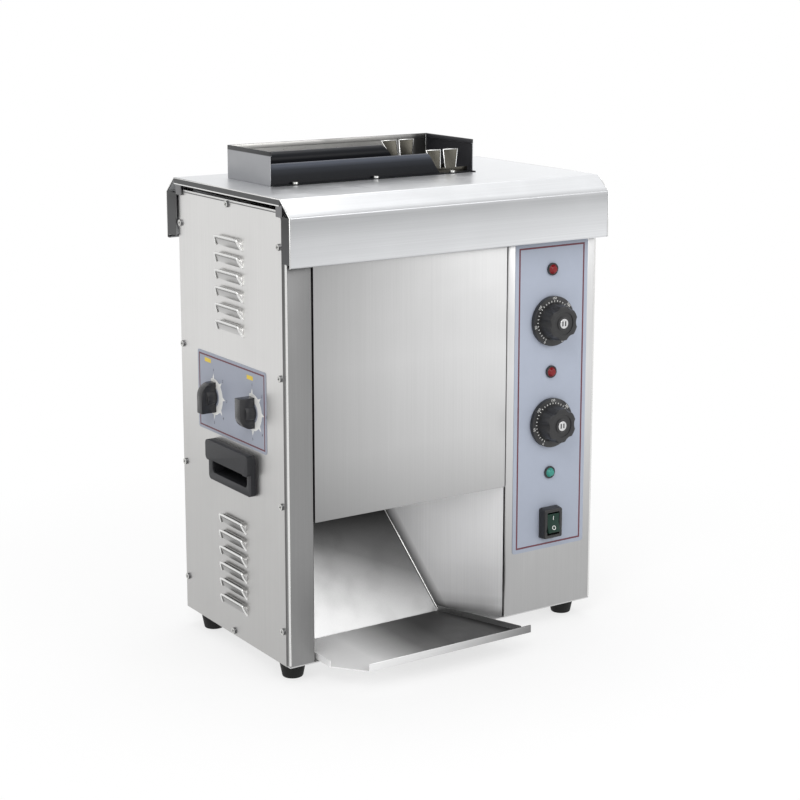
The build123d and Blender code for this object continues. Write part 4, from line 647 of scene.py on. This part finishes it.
# Bright, glossy steel as painted highlight lines along edges, seams and rims
highlight_steel = sheet_steel("highlight_steel", (0.78, 0.78, 0.77), "Y", rough=(0.16, 0.26))
screw_steel = sheet_steel("screw_steel", (0.62, 0.62, 0.6), "X", rough=(0.16, 0.3))
inner_steel = sheet_steel("inner_steel", (0.5, 0.5, 0.51), "Z", rough=(0.3, 0.45))
gear_steel = sheet_steel("gear_steel", (0.34, 0.34, 0.35), "X", rough=(0.25, 0.4))
platen_metal = sheet_steel("platen_metal", (0.55, 0.55, 0.56), "X", rough=(0.3, 0.5), relief=0.2)
heater_metal = sheet_steel("heater_sheath", (0.2, 0.17, 0.15), "X", rough=(0.4, 0.6))
bush_metal = sheet_steel("bush_brass", (0.65, 0.47, 0.2), "X", rough=(0.2, 0.35))
cap_silver = sheet_steel("cap_silver", (0.7, 0.7, 0.7), "X", rough=(0.2, 0.3))
SATIN = {"rough": (0.26, 0.36), "relief": 0.05, "dusty": 0.005, "gloss": 0.1}
# Feed guides: a painted highlight along their tops, darker below
guide_black = moulded("guide_black", (0.078, 0.087, 0.109), **SATIN, painted_shading=[
    (ALONG_Z, [(508, 0.06), (520, 0.12), (526, 0.3), (530, 0.9), (535.5, 1.0)])])
bar_black = moulded("bar_black", (0.066, 0.072, 0.09), **SATIN, painted_shading=[
    (ALONG_Z, [(508, 0.1), (536, 0.12), (541, 0.2), (543.5, 0.9), (545.5, 1.0)])])
knob_black = moulded("knob_black", (0.014, 0.014, 0.015), rough=(0.3, 0.42), dusty=0.012)
gap_black = moulded("gap_black", (0.02, 0.02, 0.022), rough=(0.2, 0.3), dusty=0.016)
handle_black = moulded("handle_black", (0.017, 0.0175, 0.0205), rough=(0.45, 0.58), relief=0.3,
                       dusty=0.012, gloss=0.35)
boot_black = moulded("boot_black", (0.013, 0.013, 0.014), rough=(0.28, 0.4), dusty=0.01)
motor_paint = moulded("motor_paint", (0.06, 0.06, 0.065), dusty=0.02)
foot_rubber = moulded("foot_rubber", (0.006, 0.006, 0.006), rough=(0.6, 0.75), relief=0.4,
                      dusty=0.008, gloss=0.3)
terminal_white = moulded("terminal_white", (0.7, 0.7, 0.68), dusty=0.05)
# Control overlay: painted shade, darker towards the bottom and the top
overlay_film = printed("overlay_film", (0.4, 0.44, 0.53), painted_shading=[
    (ALONG_Z, [(90, 0.84), (200, 0.95), (330, 1.0), (400, 0.98), (441, 0.88)])])
side_film = printed("side_film", (0.33, 0.355, 0.425))
line_red = printed("border_red", (0.13, 0.03, 0.045))
mark_white = printed("mark_white", (0.8, 0.8, 0.78))
mark_dark = printed("mark_dark", (0.05, 0.055, 0.07))
patch_yellow = printed("patch_yellow", (0.75, 0.55, 0.05))
red_lens = lens("red_lens", (0.17, 0.008, 0.01), (0.26, 0.018, 0.022))
green_lens = lens("green_lens", (0.035, 0.22, 0.175), (0.06, 0.33, 0.28))
window_green = lens("window_green", (0.003, 0.024, 0.015), (0.005, 0.036, 0.023))
belt_cloth = woven("belt_cloth", (0.24, 0.16, 0.08), (0.32, 0.22, 0.12))
sheet_cloth = woven("release_cloth", (0.2, 0.13, 0.07), (0.28, 0.19, 0.1))

FINISH = {
    "left_side_cover": side_steel, "right_side_cover": side_steel, "lid": lid_steel,
    "front_cover": door_steel, "left_front_post": post_steel, "control_column": column_steel,
    "rear_panel": case_steel, "base_pan": case_steel, "top_frame": inner_steel,
    "discharge_ramp": ramp_steel, "discharge_deflector": deflector_steel,
    "landing_tray": tray_steel, "feed_chute": chute_steel, "guide_end_tabs": tab_steel,
    "side_cover_screws": screw_steel, "guide_screws": screw_steel,
    "left_chamber_wall": inner_steel, "right_chamber_wall": inner_steel,
    "platen_bolts": inner_steel, "front_pressure_plate": inner_steel,
    "rear_pressure_plate": inner_steel, "front_plate_link": inner_steel,
    "rear_plate_link": inner_steel, "front_cam": inner_steel, "rear_cam": inner_steel,
    "motor_standoffs": inner_steel, "idler_stud": inner_steel,
    "front_drive_roller": inner_steel, "rear_drive_roller": inner_steel,
    "front_idler_roller": inner_steel, "rear_idler_roller": inner_steel,
    "front_drive_gear": gear_steel, "rear_drive_gear": gear_steel, "motor_gear": gear_steel,
    "idler_gear": gear_steel, "platen": platen_metal, "platen_heaters": heater_metal,
    "radiant_heaters": heater_metal, "release_sheets": sheet_cloth, "front_belt": belt_cloth,
    "rear_belt": belt_cloth, "roller_bushes": bush_metal, "front_feed_guide": guide_black,
    "centre_feed_guide": bar_black, "gear_motor": motor_paint, "front_gap_knob": gap_black,
    "rear_gap_knob": gap_black, "upper_heat_knob": knob_black, "lower_heat_knob": knob_black,
    "side_handles": handle_black, "switch_housing": boot_black, "switch_rocker": window_green,
    "cable_gland": knob_black, "thermostats": knob_black, "control_overlay": overlay_film,
    "side_overlay": side_film, "red_lamps": red_lens, "green_lamp": green_lens,
    "feet": foot_rubber, "terminal_block": terminal_white,
}
for node, material in FINISH.items():
    mesh = nodes[node].data
    mesh.materials.clear()
    mesh.materials.append(material)

# Sheet edges and moulded edges that catch the light
SOFT_EDGES = {
    "front_cover": 0.4, "left_front_post": 0.3, "control_column": 0.3, "landing_tray": 0.3,
    "feed_chute": 0.4, "guide_end_tabs": 0.2, "side_handles": 0.9, "front_gap_knob": 0.9,
    "rear_gap_knob": 0.9, "upper_heat_knob": 0.6, "lower_heat_knob": 0.6, "switch_housing": 2.2,
    "switch_rocker": 0.4, "red_lamps": 0.4, "green_lamp": 0.4, "feet": 1.2, "cable_gland": 0.6,
}
soft = {}
for node, width in SOFT_EDGES.items():
    soft[node] = dress(softened(node, width), FINISH[node], body_of(node))
    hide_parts(node)

# Faces with a finish of their own, beyond a place in mm: the chute's inner rear and right walls, with
# painted shade, and the tray's front lip and right rim, with a painted reflection
CHUTE_REAR_Y, CHUTE_RIGHT_X, TRAY_LIP_Y, TRAY_RIM_X, RIM_FACING = 90, 100, -150, -60, 0.4
chute, tray = soft["feed_chute"], soft["landing_tray"]
repaint(chute, chute_inside, lambda middle, normal: normal.y < -FACING and middle.y > CHUTE_REAR_Y)
repaint(tray, lip_steel, lambda middle, normal: normal.y < -FACING and middle.y < TRAY_LIP_Y)
repaint(tray, lip_steel, lambda middle, normal: normal.x < -RIM_FACING and middle.x > TRAY_RIM_X)
repaint(chute, chute_shade, lambda middle, normal: normal.x < -FACING and middle.x > CHUTE_RIGHT_X)

# Marks of the heat dials: rings are distances from a dial's axis, arcs are degrees
TICK_WIDTH, TICK_RING, TICK_SINK = 0.8, (21.6, 23.4), 0.05
NUMBER_SIZE, NUMBER_RING = 3.9, 25.6
ARC_START, TICK_ARC, TICK_COUNT, NUMBER_ARC = -150, 10, 31, 50
DIAL_NUMBERS = ("0", "50", "100", "150", "200", "250", "300")
CAP_RADIUS, CAP_DEPTH, CAP_RISE, CAP_ROUND = 5.4, 0.9, 0.3, 0.2
CAP_SLOT_X, CAP_SLOT_WIDTH, CAP_SLOT_HEIGHT, CAP_SLOT_YS = 1.9, 1.6, 5.4, (-2.0, 1.0)


def dial_marks(dial, z):
    """Ticks and numbers on a heat dial's skirt, and the cap in the middle of its grip."""
    centre = at(CONTROL_X, SKIRT_Y, z)
    tick = block("tick", (CONTROL_X - TICK_WIDTH / 2, SKIRT_Y - PRINT_DEPTH, z + TICK_RING[0]),
                 (CONTROL_X + TICK_WIDTH / 2, SKIRT_Y + TICK_SINK, z + TICK_RING[1]))
    marks = [twin(tick, "tick", about(centre, math.radians(ARC_START + TICK_ARC * i), "Y"))
             for i in range(TICK_COUNT)]
    bpy.data.objects.remove(tick)
    for i, text in enumerate(DIAL_NUMBERS):
        place = (CONTROL_X, SKIRT_Y - PRINT_DEPTH / 2, z + NUMBER_RING)
        number = figure("number", text, NUMBER_SIZE, place, FRONT)
        number.data.transform(about(centre, math.radians(ARC_START + NUMBER_ARC * i), "Y"))
        marks.append(number)
    dress(joined(dial + "_scale", marks), mark_white, dial)
    cap = drum(dial + "_cap", CAP_RADIUS, CAP_DEPTH, (CONTROL_X, TIP_Y - CAP_RISE, z), FRONT)
    front, rear = (TIP_Y + y for y in CAP_SLOT_YS)
    for x in (CONTROL_X - CAP_SLOT_X, CONTROL_X + CAP_SLOT_X):
        cap = cut(cap, block("slot", (x - CAP_SLOT_WIDTH / 2, front, z - CAP_SLOT_HEIGHT / 2),
                             (x + CAP_SLOT_WIDTH / 2, rear, z + CAP_SLOT_HEIGHT / 2)))
    dress(bevel(cap, CAP_ROUND), cap_silver, dial)


# Scales of the gap knobs: rings are distances from a knob's axis, and the band is cut away at the rear
BAND_RINGS, BAND_DEPTH, BAND_REAR, BAND_CLEAR = (20.0, 11.5), 0.3, (6.0, 40.0), (2.0, 30.0)
POINT_RADIUS, POINT_LENGTH, POINT_RING, POINT_FLATNESS = 3.4, 7.0, 22.0, 0.05
GAP_STEPS, GAP_ARC = 5, 45
GAP_NUMBER_SIZE, GAP_NUMBER_RING = 4.2, 29.0


def gap_scale(name, y):
    """The white star-edged scale beside a gap knob, and its numbers."""
    centre = (SIDE_X, y, KNOB_Z)
    band = ring(name, *BAND_RINGS, BAND_DEPTH, centre, LEFT)
    (start, end), (out, up) = BAND_REAR, BAND_CLEAR
    band = cut(band, block("rear", (SIDE_X - out, y + start, KNOB_Z - up),
                           (SIDE_X + out, y + end, KNOB_Z + up)))
    points, numbers = [], []
    for i in range(GAP_STEPS):
        turn = math.radians(GAP_ARC * i)
        bpy.ops.mesh.primitive_cone_add(vertices=3, radius1=POINT_RADIUS * MM, radius2=0,
                                        depth=POINT_LENGTH * MM,
                                        location=at(SIDE_X, y, KNOB_Z + POINT_RING))
        point = bpy.context.active_object
        point.scale = (POINT_FLATNESS, 1, 1)
        settle(point).data.transform(about(at(*centre), turn, "X"))
        points.append(point)
        place = (SIDE_X - PRINT_DEPTH / 2, y, KNOB_Z)
        number = figure("number", str(i + 1), GAP_NUMBER_SIZE, place, (QUARTER, 0, -QUARTER))
        move = Matrix.Rotation(turn, 4, "X") @ at(0, 0, GAP_NUMBER_RING)
        number.data.transform(Matrix.Translation(move))
        numbers.append(number)
    dress(joined(name, [band] + points), mark_white, "cabinet")
    dress(joined(name + "_numbers", numbers), mark_dark, "cabinet")


# Print on the two overlays, the marks of the dials and the rims of the lamps
control_border = outline_frame("control_border", (CONTROL_X, OVERLAY_Y, CONTROL_FILM_Z),
                               width=90.5, height=340.0, line=1.9, turn=FRONT)
dress(control_border, line_red, "cabinet")
side_border = outline_frame("side_border", (SIDE_X, LOUVER_Y, SIDE_FILM_Z),
                            width=81.0, height=144.0, line=1.6, turn=LEFT)
dress(side_border, line_red, "cabinet")
dial_marks("upper_dial", UPPER_DIAL_Z)
dial_marks("lower_dial", LOWER_DIAL_Z)
gap_scale("front_gap_scale", FRONT_KNOB_Y)
gap_scale("rear_gap_scale", REAR_KNOB_Y)
LAMP_RIM_RADII, LAMP_RIM_DEPTH, LAMP_RIM_OUT = (7.0, 5.3), 2.5, 1.2
for name, z in (("upper_lamp_rim", UPPER_LAMP_Z), ("lower_lamp_rim", LOWER_LAMP_Z),
                ("green_lamp_rim", GREEN_LAMP_Z)):
    place = (CONTROL_X, OVERLAY_Y - LAMP_RIM_OUT, z)
    rim = ring(name, *LAMP_RIM_RADII, LAMP_RIM_DEPTH, place, FRONT)
    dress(bevel(rim, width=0.5, segments=3), knob_black, "cabinet")
PATCH_HEIGHT, PATCH_RISE, PATCH_SINK = 4.4, 0.15, 0.05
PATCHES = ((69.0, 318.0, 14.0), (-24.0, 316.0, 13.0))
patches = [block("patch", (SIDE_X - PATCH_RISE, y - width / 2, z - PATCH_HEIGHT / 2),
                 (SIDE_X + PATCH_SINK, y + width / 2, z + PATCH_HEIGHT / 2))
           for y, z, width in PATCHES]
dress(bevel(joined("yellow_patches", patches), width=0.04), patch_yellow, "cabinet")

# Rolled rims of the louver hoods, bright as painted highlight, and painted shade in the creases below
# them: places along, up and out from a hood's middle, at one of its ends
HOOD_RIM = [(27.9, -5.4, 0.3), (26.3, -1.8, 2.1), (25.0, 2.0, 3.7), (24.3, 4.4, 4.3), (22.6, 5.1, 4.4)]
HOOD_CREASE = [(25.4, -4.9, 0.5), (24.5, -1.6, 2.15), (23.5, 1.2, 3.5), (22.8, 2.5, 4.1),
               (21.4, 2.9, 4.3)]


def hood_line(name, end, radius, material):
    """A line round every louver hood, from the places at one end of a hood."""
    lines = []
    for side, face in zip((-1, 1), both_sides(COVER_REACH)):
        half = [(face + side * proud, along, up) for along, up, proud in end]
        whole = [(x, LOUVER_Y - y, z) for x, y, z in half]
        whole += [(half[-1][0], LOUVER_Y, half[-1][2])]
        whole += [(x, LOUVER_Y + y, z) for x, y, z in reversed(half)]
        line = bead(name, whole, radius, smooth=True)
        lines += [twin(line, name, Matrix.Translation(at(0, 0, z))) for z in LOUVER_ZS]
        bpy.data.objects.remove(line)
    dress(joined(name, lines), material, "cabinet")


hood_line("louver_rims", HOOD_RIM, radius=1.3, material=highlight_steel)
hood_line("louver_creases", HOOD_CREASE, radius=0.55, material=crease_shade_steel)

# Lid ends' painted highlights: the wings' outline, and the hem below the top, as places in Y and Z
WING = [(-113.75, 442.6), (-113.75, 493.0), (-95.25, 509.6), (20.0, 509.6), (136.1, 509.4),
        (154.0, 493.0), (154.0, 442.6)]
HEM = [(y, 503.4) for y in (-94.0, -40.0, 20.0, 80.0, 135.0)]
LID_REACH = 202.75
lid_edges = []
for x in both_sides(LID_REACH):
    lid_edges.append(bead("wing_edge", [(x, y, z) for y, z in WING], radius=0.55))
    lid_edges.append(bead("hem_edge", [(x, y, z) for y, z in HEM], radius=0.8))
dress(joined("lid_edges", lid_edges), highlight_steel, "cabinet")

# Painted highlights: ramp, chute corner, case corners, side covers' tops, and painted shade lines below
RAMP_EDGE = [(31.6, -40.15, 22.4), (10.9, -15.2, 80.3), (-9.7, 9.85, 138.2), (-36.6, 42.5, 156.3),
             (-71.0, 84.2, 179.2)]
CHUTE_CORNER = run((106.0, 95.2, 511.0), (106.0, 95.2, 545.4))
CASE_CORNER_REACH, CASE_CORNER_Y, CASE_CORNER_ZS = 198.05, -97.4, (22.6, 482.6)
COVER_TOP_REACH, COVER_TOP_YS, COVER_TOP_Z, COVER_CREASE_Z = 200.05, (-84.0, 118.0), 497.5, 495.5


def cover_line(name, z, radius):
    """A straight bead along each side cover, near its upper edge."""
    front, rear = COVER_TOP_YS
    return [bead(name, run((x, front, z), (x, rear, z)), radius) for x in both_sides(COVER_TOP_REACH)]


seam_highlights = [bead("ramp_edge", RAMP_EDGE, radius=0.8), bead("corner_edge", CHUTE_CORNER, radius=0.8)]
for x in both_sides(CASE_CORNER_REACH):
    bottom, top = ((x, CASE_CORNER_Y, z) for z in CASE_CORNER_ZS)
    seam_highlights.append(bead("case_corner", run(bottom, top), radius=1.3))
seam_highlights += cover_line("cover_top", COVER_TOP_Z, radius=0.7)
dress(joined("sheet_seam_highlights", seam_highlights), highlight_steel, "cabinet")
# Lines of painted shade just under the side covers' top edges
creases = cover_line("cover_crease", COVER_CREASE_Z, radius=0.6)
dress(joined("cover_creases", creases), painted_shade_steel, "cabinet")

# Guide tabs' painted highlights: each tab's Y and top, then its left foot, top corners and right foot
TABS = [(14.2, 535.4, (63.8, 511.0), (51.0, 70.2), (70.1, 515.0)),
        (14.2, 535.4, (76.9, 515.0), (74.2, 93.6), (91.0, 515.0)),
        (49.2, 545.2, (38.0, 512.0), (15.0, 34.3), (38.6, 515.0)),
        (49.2, 545.2, (41.1, 515.0), (38.3, 57.6), (54.8, 515.0))]
tab_rims = []
for y, top, (x0, z0), (x1, x2), (x3, z3) in TABS:
    outline = [(x0, y, z0), (x1, y, top), ((x1 + x2) / 2, y, top), (x2, y, top), (x3, y, z3)]
    tab_rims.append(bead("tab_rim", outline, radius=0.6))
dress(joined("tab_rims", tab_rims), highlight_steel, "cabinet")

# Folded ends of the lid's hems, dark as painted shade
HEM_END_REACH, HEM_END_YS, HEM_END_ZS = 201.65, (-98.0, 121.0), (491.5, 504.5)
HEM_END_WIDTH, HEM_END_DEPTH = 2.6, 12.0
hem_ends = [block("hem_end", (x - HEM_END_WIDTH / 2, y, HEM_END_ZS[0]),
                  (x + HEM_END_WIDTH / 2, y + HEM_END_DEPTH, HEM_END_ZS[1]))
            for x in both_sides(HEM_END_REACH) for y in HEM_END_YS]
dress(bevel(joined("hem_ends", hem_ends), width=1.0, segments=3), painted_shade_steel, "cabinet")

# Signs on the two wings of the rocker, which leans back in its housing
LEAN = math.radians(8)
UP = Vector((0, math.sin(LEAN), math.cos(LEAN)))
OUT = Vector((0, -math.cos(LEAN), math.sin(LEAN)))
ACROSS = Vector((1, 0, 0))
WING_UP, WING_OUT, PIVOT_OUT = 10.6, 1.73, 6.0
SIGN_UP, SIGN_OUT, SIGN_SIZE = 5.6, 4.25, 7.0
pivot = at(CONTROL_X, OVERLAY_Y - PIVOT_OUT, SWITCH_Z)
for name, text, side in (("rocker_on_sign", "I", 1), ("rocker_off_sign", "O", -1)):
    sign = figure(name, text, SIGN_SIZE, (0, 0, 0), (0, 0, 0))
    rise = (UP * WING_UP * side + OUT * WING_OUT).normalized() * side
    facing = Matrix((ACROSS, rise, ACROSS.cross(rise))).transposed().to_4x4()
    middle = pivot + (UP * SIGN_UP * side + OUT * SIGN_OUT) * MM
    sign.data.transform(Matrix.Translation(middle) @ facing)
    dress(sign, mark_white, "rocker")

# Screw heads with a cross recess, one made and the rest copied
HEAD_RADIUS, HEAD_HEIGHT, HEAD_ROUND, HEAD_RIM_FACING = 3.5, 2.1, 0.25, 0.5
DOME_INSET, DOME_RISE = 1.2, 0.09
RECESS_LENGTH, RECESS_WIDTH, RECESS_ZS, RECESS_TURN = 4.0, 0.84, (1.0, 4.0), 0.4
SIDE_SCREWS = [(y, z) for y in (-87.15, 126.85) for z in (57.5, 192.0, 326.5, 461.0)]
SIDE_SCREWS += [(19.85, 493.0), (19.85, 25.5)]
GUIDE_SCREW_XS, GUIDE_SCREW_Y, GUIDE_SCREW_Z = (-124.85, -23.85, 77.15), 0.85, 511.2


def pan_head():
    """A low domed screw head that stands on the origin."""
    head = drum("screw_head", HEAD_RADIUS, HEAD_HEIGHT, (0, 0, HEAD_HEIGHT / 2))
    edit_faces(head, lambda normal: normal.z > FACING)
    bpy.ops.mesh.inset(thickness=DOME_INSET * MM)
    bpy.ops.transform.translate(value=(0, 0, DOME_RISE * MM))
    edit_done()
    half, across = RECESS_LENGTH / 2, RECESS_WIDTH / 2
    bottom, top = RECESS_ZS
    for turn in (RECESS_TURN, RECESS_TURN + QUARTER):
        blade = block("blade", (-half, -across, bottom), (half, across, top))
        blade.data.transform(Matrix.Rotation(turn, 4, "Z"))
        head = cut(head, blade)
    return bevel(head, HEAD_ROUND)


master = pan_head()
heads = []
for side, x in zip((-1, 1), both_sides(COVER_REACH)):
    turn = Matrix.Rotation(QUARTER * side, 4, "Y")
    heads += [twin(master, "head", Matrix.Translation(at(x, y, z)) @ turn) for y, z in SIDE_SCREWS]
side_heads = dress(joined("side_screw_heads", heads), screw_steel, "cabinet")
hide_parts("side_cover_screws")
# Rims of the side screw heads in painted shade, as a dark outline
repaint(side_heads, painted_shade_steel, lambda middle, normal: abs(normal.x) < HEAD_RIM_FACING)
heads = [twin(master, "head", Matrix.Translation(at(x, GUIDE_SCREW_Y, GUIDE_SCREW_Z)))
         for x in GUIDE_SCREW_XS]
guide_heads = dress(joined("guide_screw_heads", heads), screw_steel, "cabinet")
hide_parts("guide_screws")
bpy.data.objects.remove(master)

# Stage, light and camera, in m, W and degrees; the glow has its share at two distances from the part
FLOOR_SIZE, FLOOR_Z, FLOOR_WHITE, FLOOR_ROUGH = 40, -0.0002, 0.93, 0.9
GLOW_NEAR, GLOW_FAR = (0.3, 0.7), (0.75, 1.0)
WORLD_UNSEEN, WORLD_SEEN = 0.55, 1.0
LAMPS = [("key", (-1.6, -1.5, 2.2), (0, 0, 0.25), (1.4, 1.4), 26),
         ("front", (0.9, -2.4, 1.4), (0, 0, 0.25), (1.6, 1.2), 18),
         ("top", (0.2, 0.4, 2.6), (0, 0, 0.3), (1.8, 1.4), 20)]
CAMERA_PLACE, CAMERA_DOWN, CAMERA_RIGHT = (-1.1024, -1.6718, 0.740), 10.96, 33.57
SENSOR, FOCAL_SHARE, CAMERA_SHIFT, FARTHEST = 36.0, 1846.9 / 800, -0.1, 100


def seen_rays(tree):
    """1 for rays that show a surface: from the camera, off a gloss or through glass."""
    rays = tree.nodes.new("ShaderNodeLightPath").outputs
    shown = math_node(tree, "MAXIMUM", rays["Is Camera Ray"], rays["Is Glossy Ray"])
    return math_node(tree, "MAXIMUM", shown, rays["Is Transmission Ray"])


def studio_floor():
    """A white floor that takes a soft shadow near the part and glows white farther away."""
    deselect()
    bpy.ops.mesh.primitive_plane_add(size=FLOOR_SIZE, location=(0, 0, FLOOR_Z))
    floor = bpy.context.active_object
    floor.name = "studio_floor"
    material, tree, shader, place = finish_base("studio_floor")
    shader.inputs["Base Color"].default_value = (FLOOR_WHITE, FLOOR_WHITE, FLOOR_WHITE, 1)
    shader.inputs["Roughness"].default_value = FLOOR_ROUGH
    away = tree.nodes.new("ShaderNodeVectorMath")
    away.operation = "LENGTH"
    tree.links.new(place, away.inputs[0])
    near = tree.nodes.new("ShaderNodeMapRange")
    for end, (distance, share) in (("Min", GLOW_NEAR), ("Max", GLOW_FAR)):
        near.inputs["From " + end].default_value = distance
        near.inputs["To " + end].default_value = share
    tree.links.new(away.outputs["Value"], near.inputs["Value"])
    glow = tree.nodes.new("ShaderNodeEmission")
    blend = tree.nodes.new("ShaderNodeMixShader")
    tree.links.new(math_node(tree, "MULTIPLY", seen_rays(tree), near.outputs["Result"]),
                   blend.inputs["Fac"])
    tree.links.new(shader.outputs["BSDF"], blend.inputs[1])
    tree.links.new(glow.outputs["Emission"], blend.inputs[2])
    tree.links.new(blend.outputs["Shader"], tree.nodes["Material Output"].inputs["Surface"])
    floor.data.materials.append(material)


def studio_world():
    """A white surround that is dimmer as light than as what is seen."""
    world = bpy.data.worlds.new("studio")
    bpy.context.scene.world = world
    world.use_nodes = True
    tree = world.node_tree
    background = tree.nodes["Background"]
    background.inputs["Color"].default_value = (1, 1, 1, 1)
    strength = spread(tree, seen_rays(tree), WORLD_UNSEEN, WORLD_SEEN)
    tree.links.new(strength, background.inputs["Strength"])


def lamp(name, place, aim, size, power):
    """A rectangular area light that faces its aim."""
    light = bpy.data.lights.new(name, "AREA")
    light.shape = "RECTANGLE"
    light.size, light.size_y = size
    light.energy = power
    holder = bpy.data.objects.new(name, light)
    bpy.context.scene.collection.objects.link(holder)
    holder.location = place
    holder.rotation_euler = (Vector(aim) - Vector(place)).to_track_quat("-Z", "Y").to_euler()


def photo_camera():
    """The camera that sees the part as the photograph does."""
    data = bpy.data.cameras.new("photo_camera")
    data.sensor_width = SENSOR
    data.lens = FOCAL_SHARE * SENSOR
    data.shift_y = CAMERA_SHIFT
    data.clip_end = FARTHEST
    holder = bpy.data.objects.new("photo_camera", data)
    bpy.context.scene.collection.objects.link(holder)
    holder.location = CAMERA_PLACE
    holder.rotation_euler = (math.radians(90 - CAMERA_DOWN), 0, math.radians(-CAMERA_RIGHT))
    bpy.context.scene.camera = holder


studio_floor()
studio_world()
for entry in LAMPS:
    lamp(*entry)
photo_camera()
bpy.context.scene.view_settings.view_transform = "Standard"
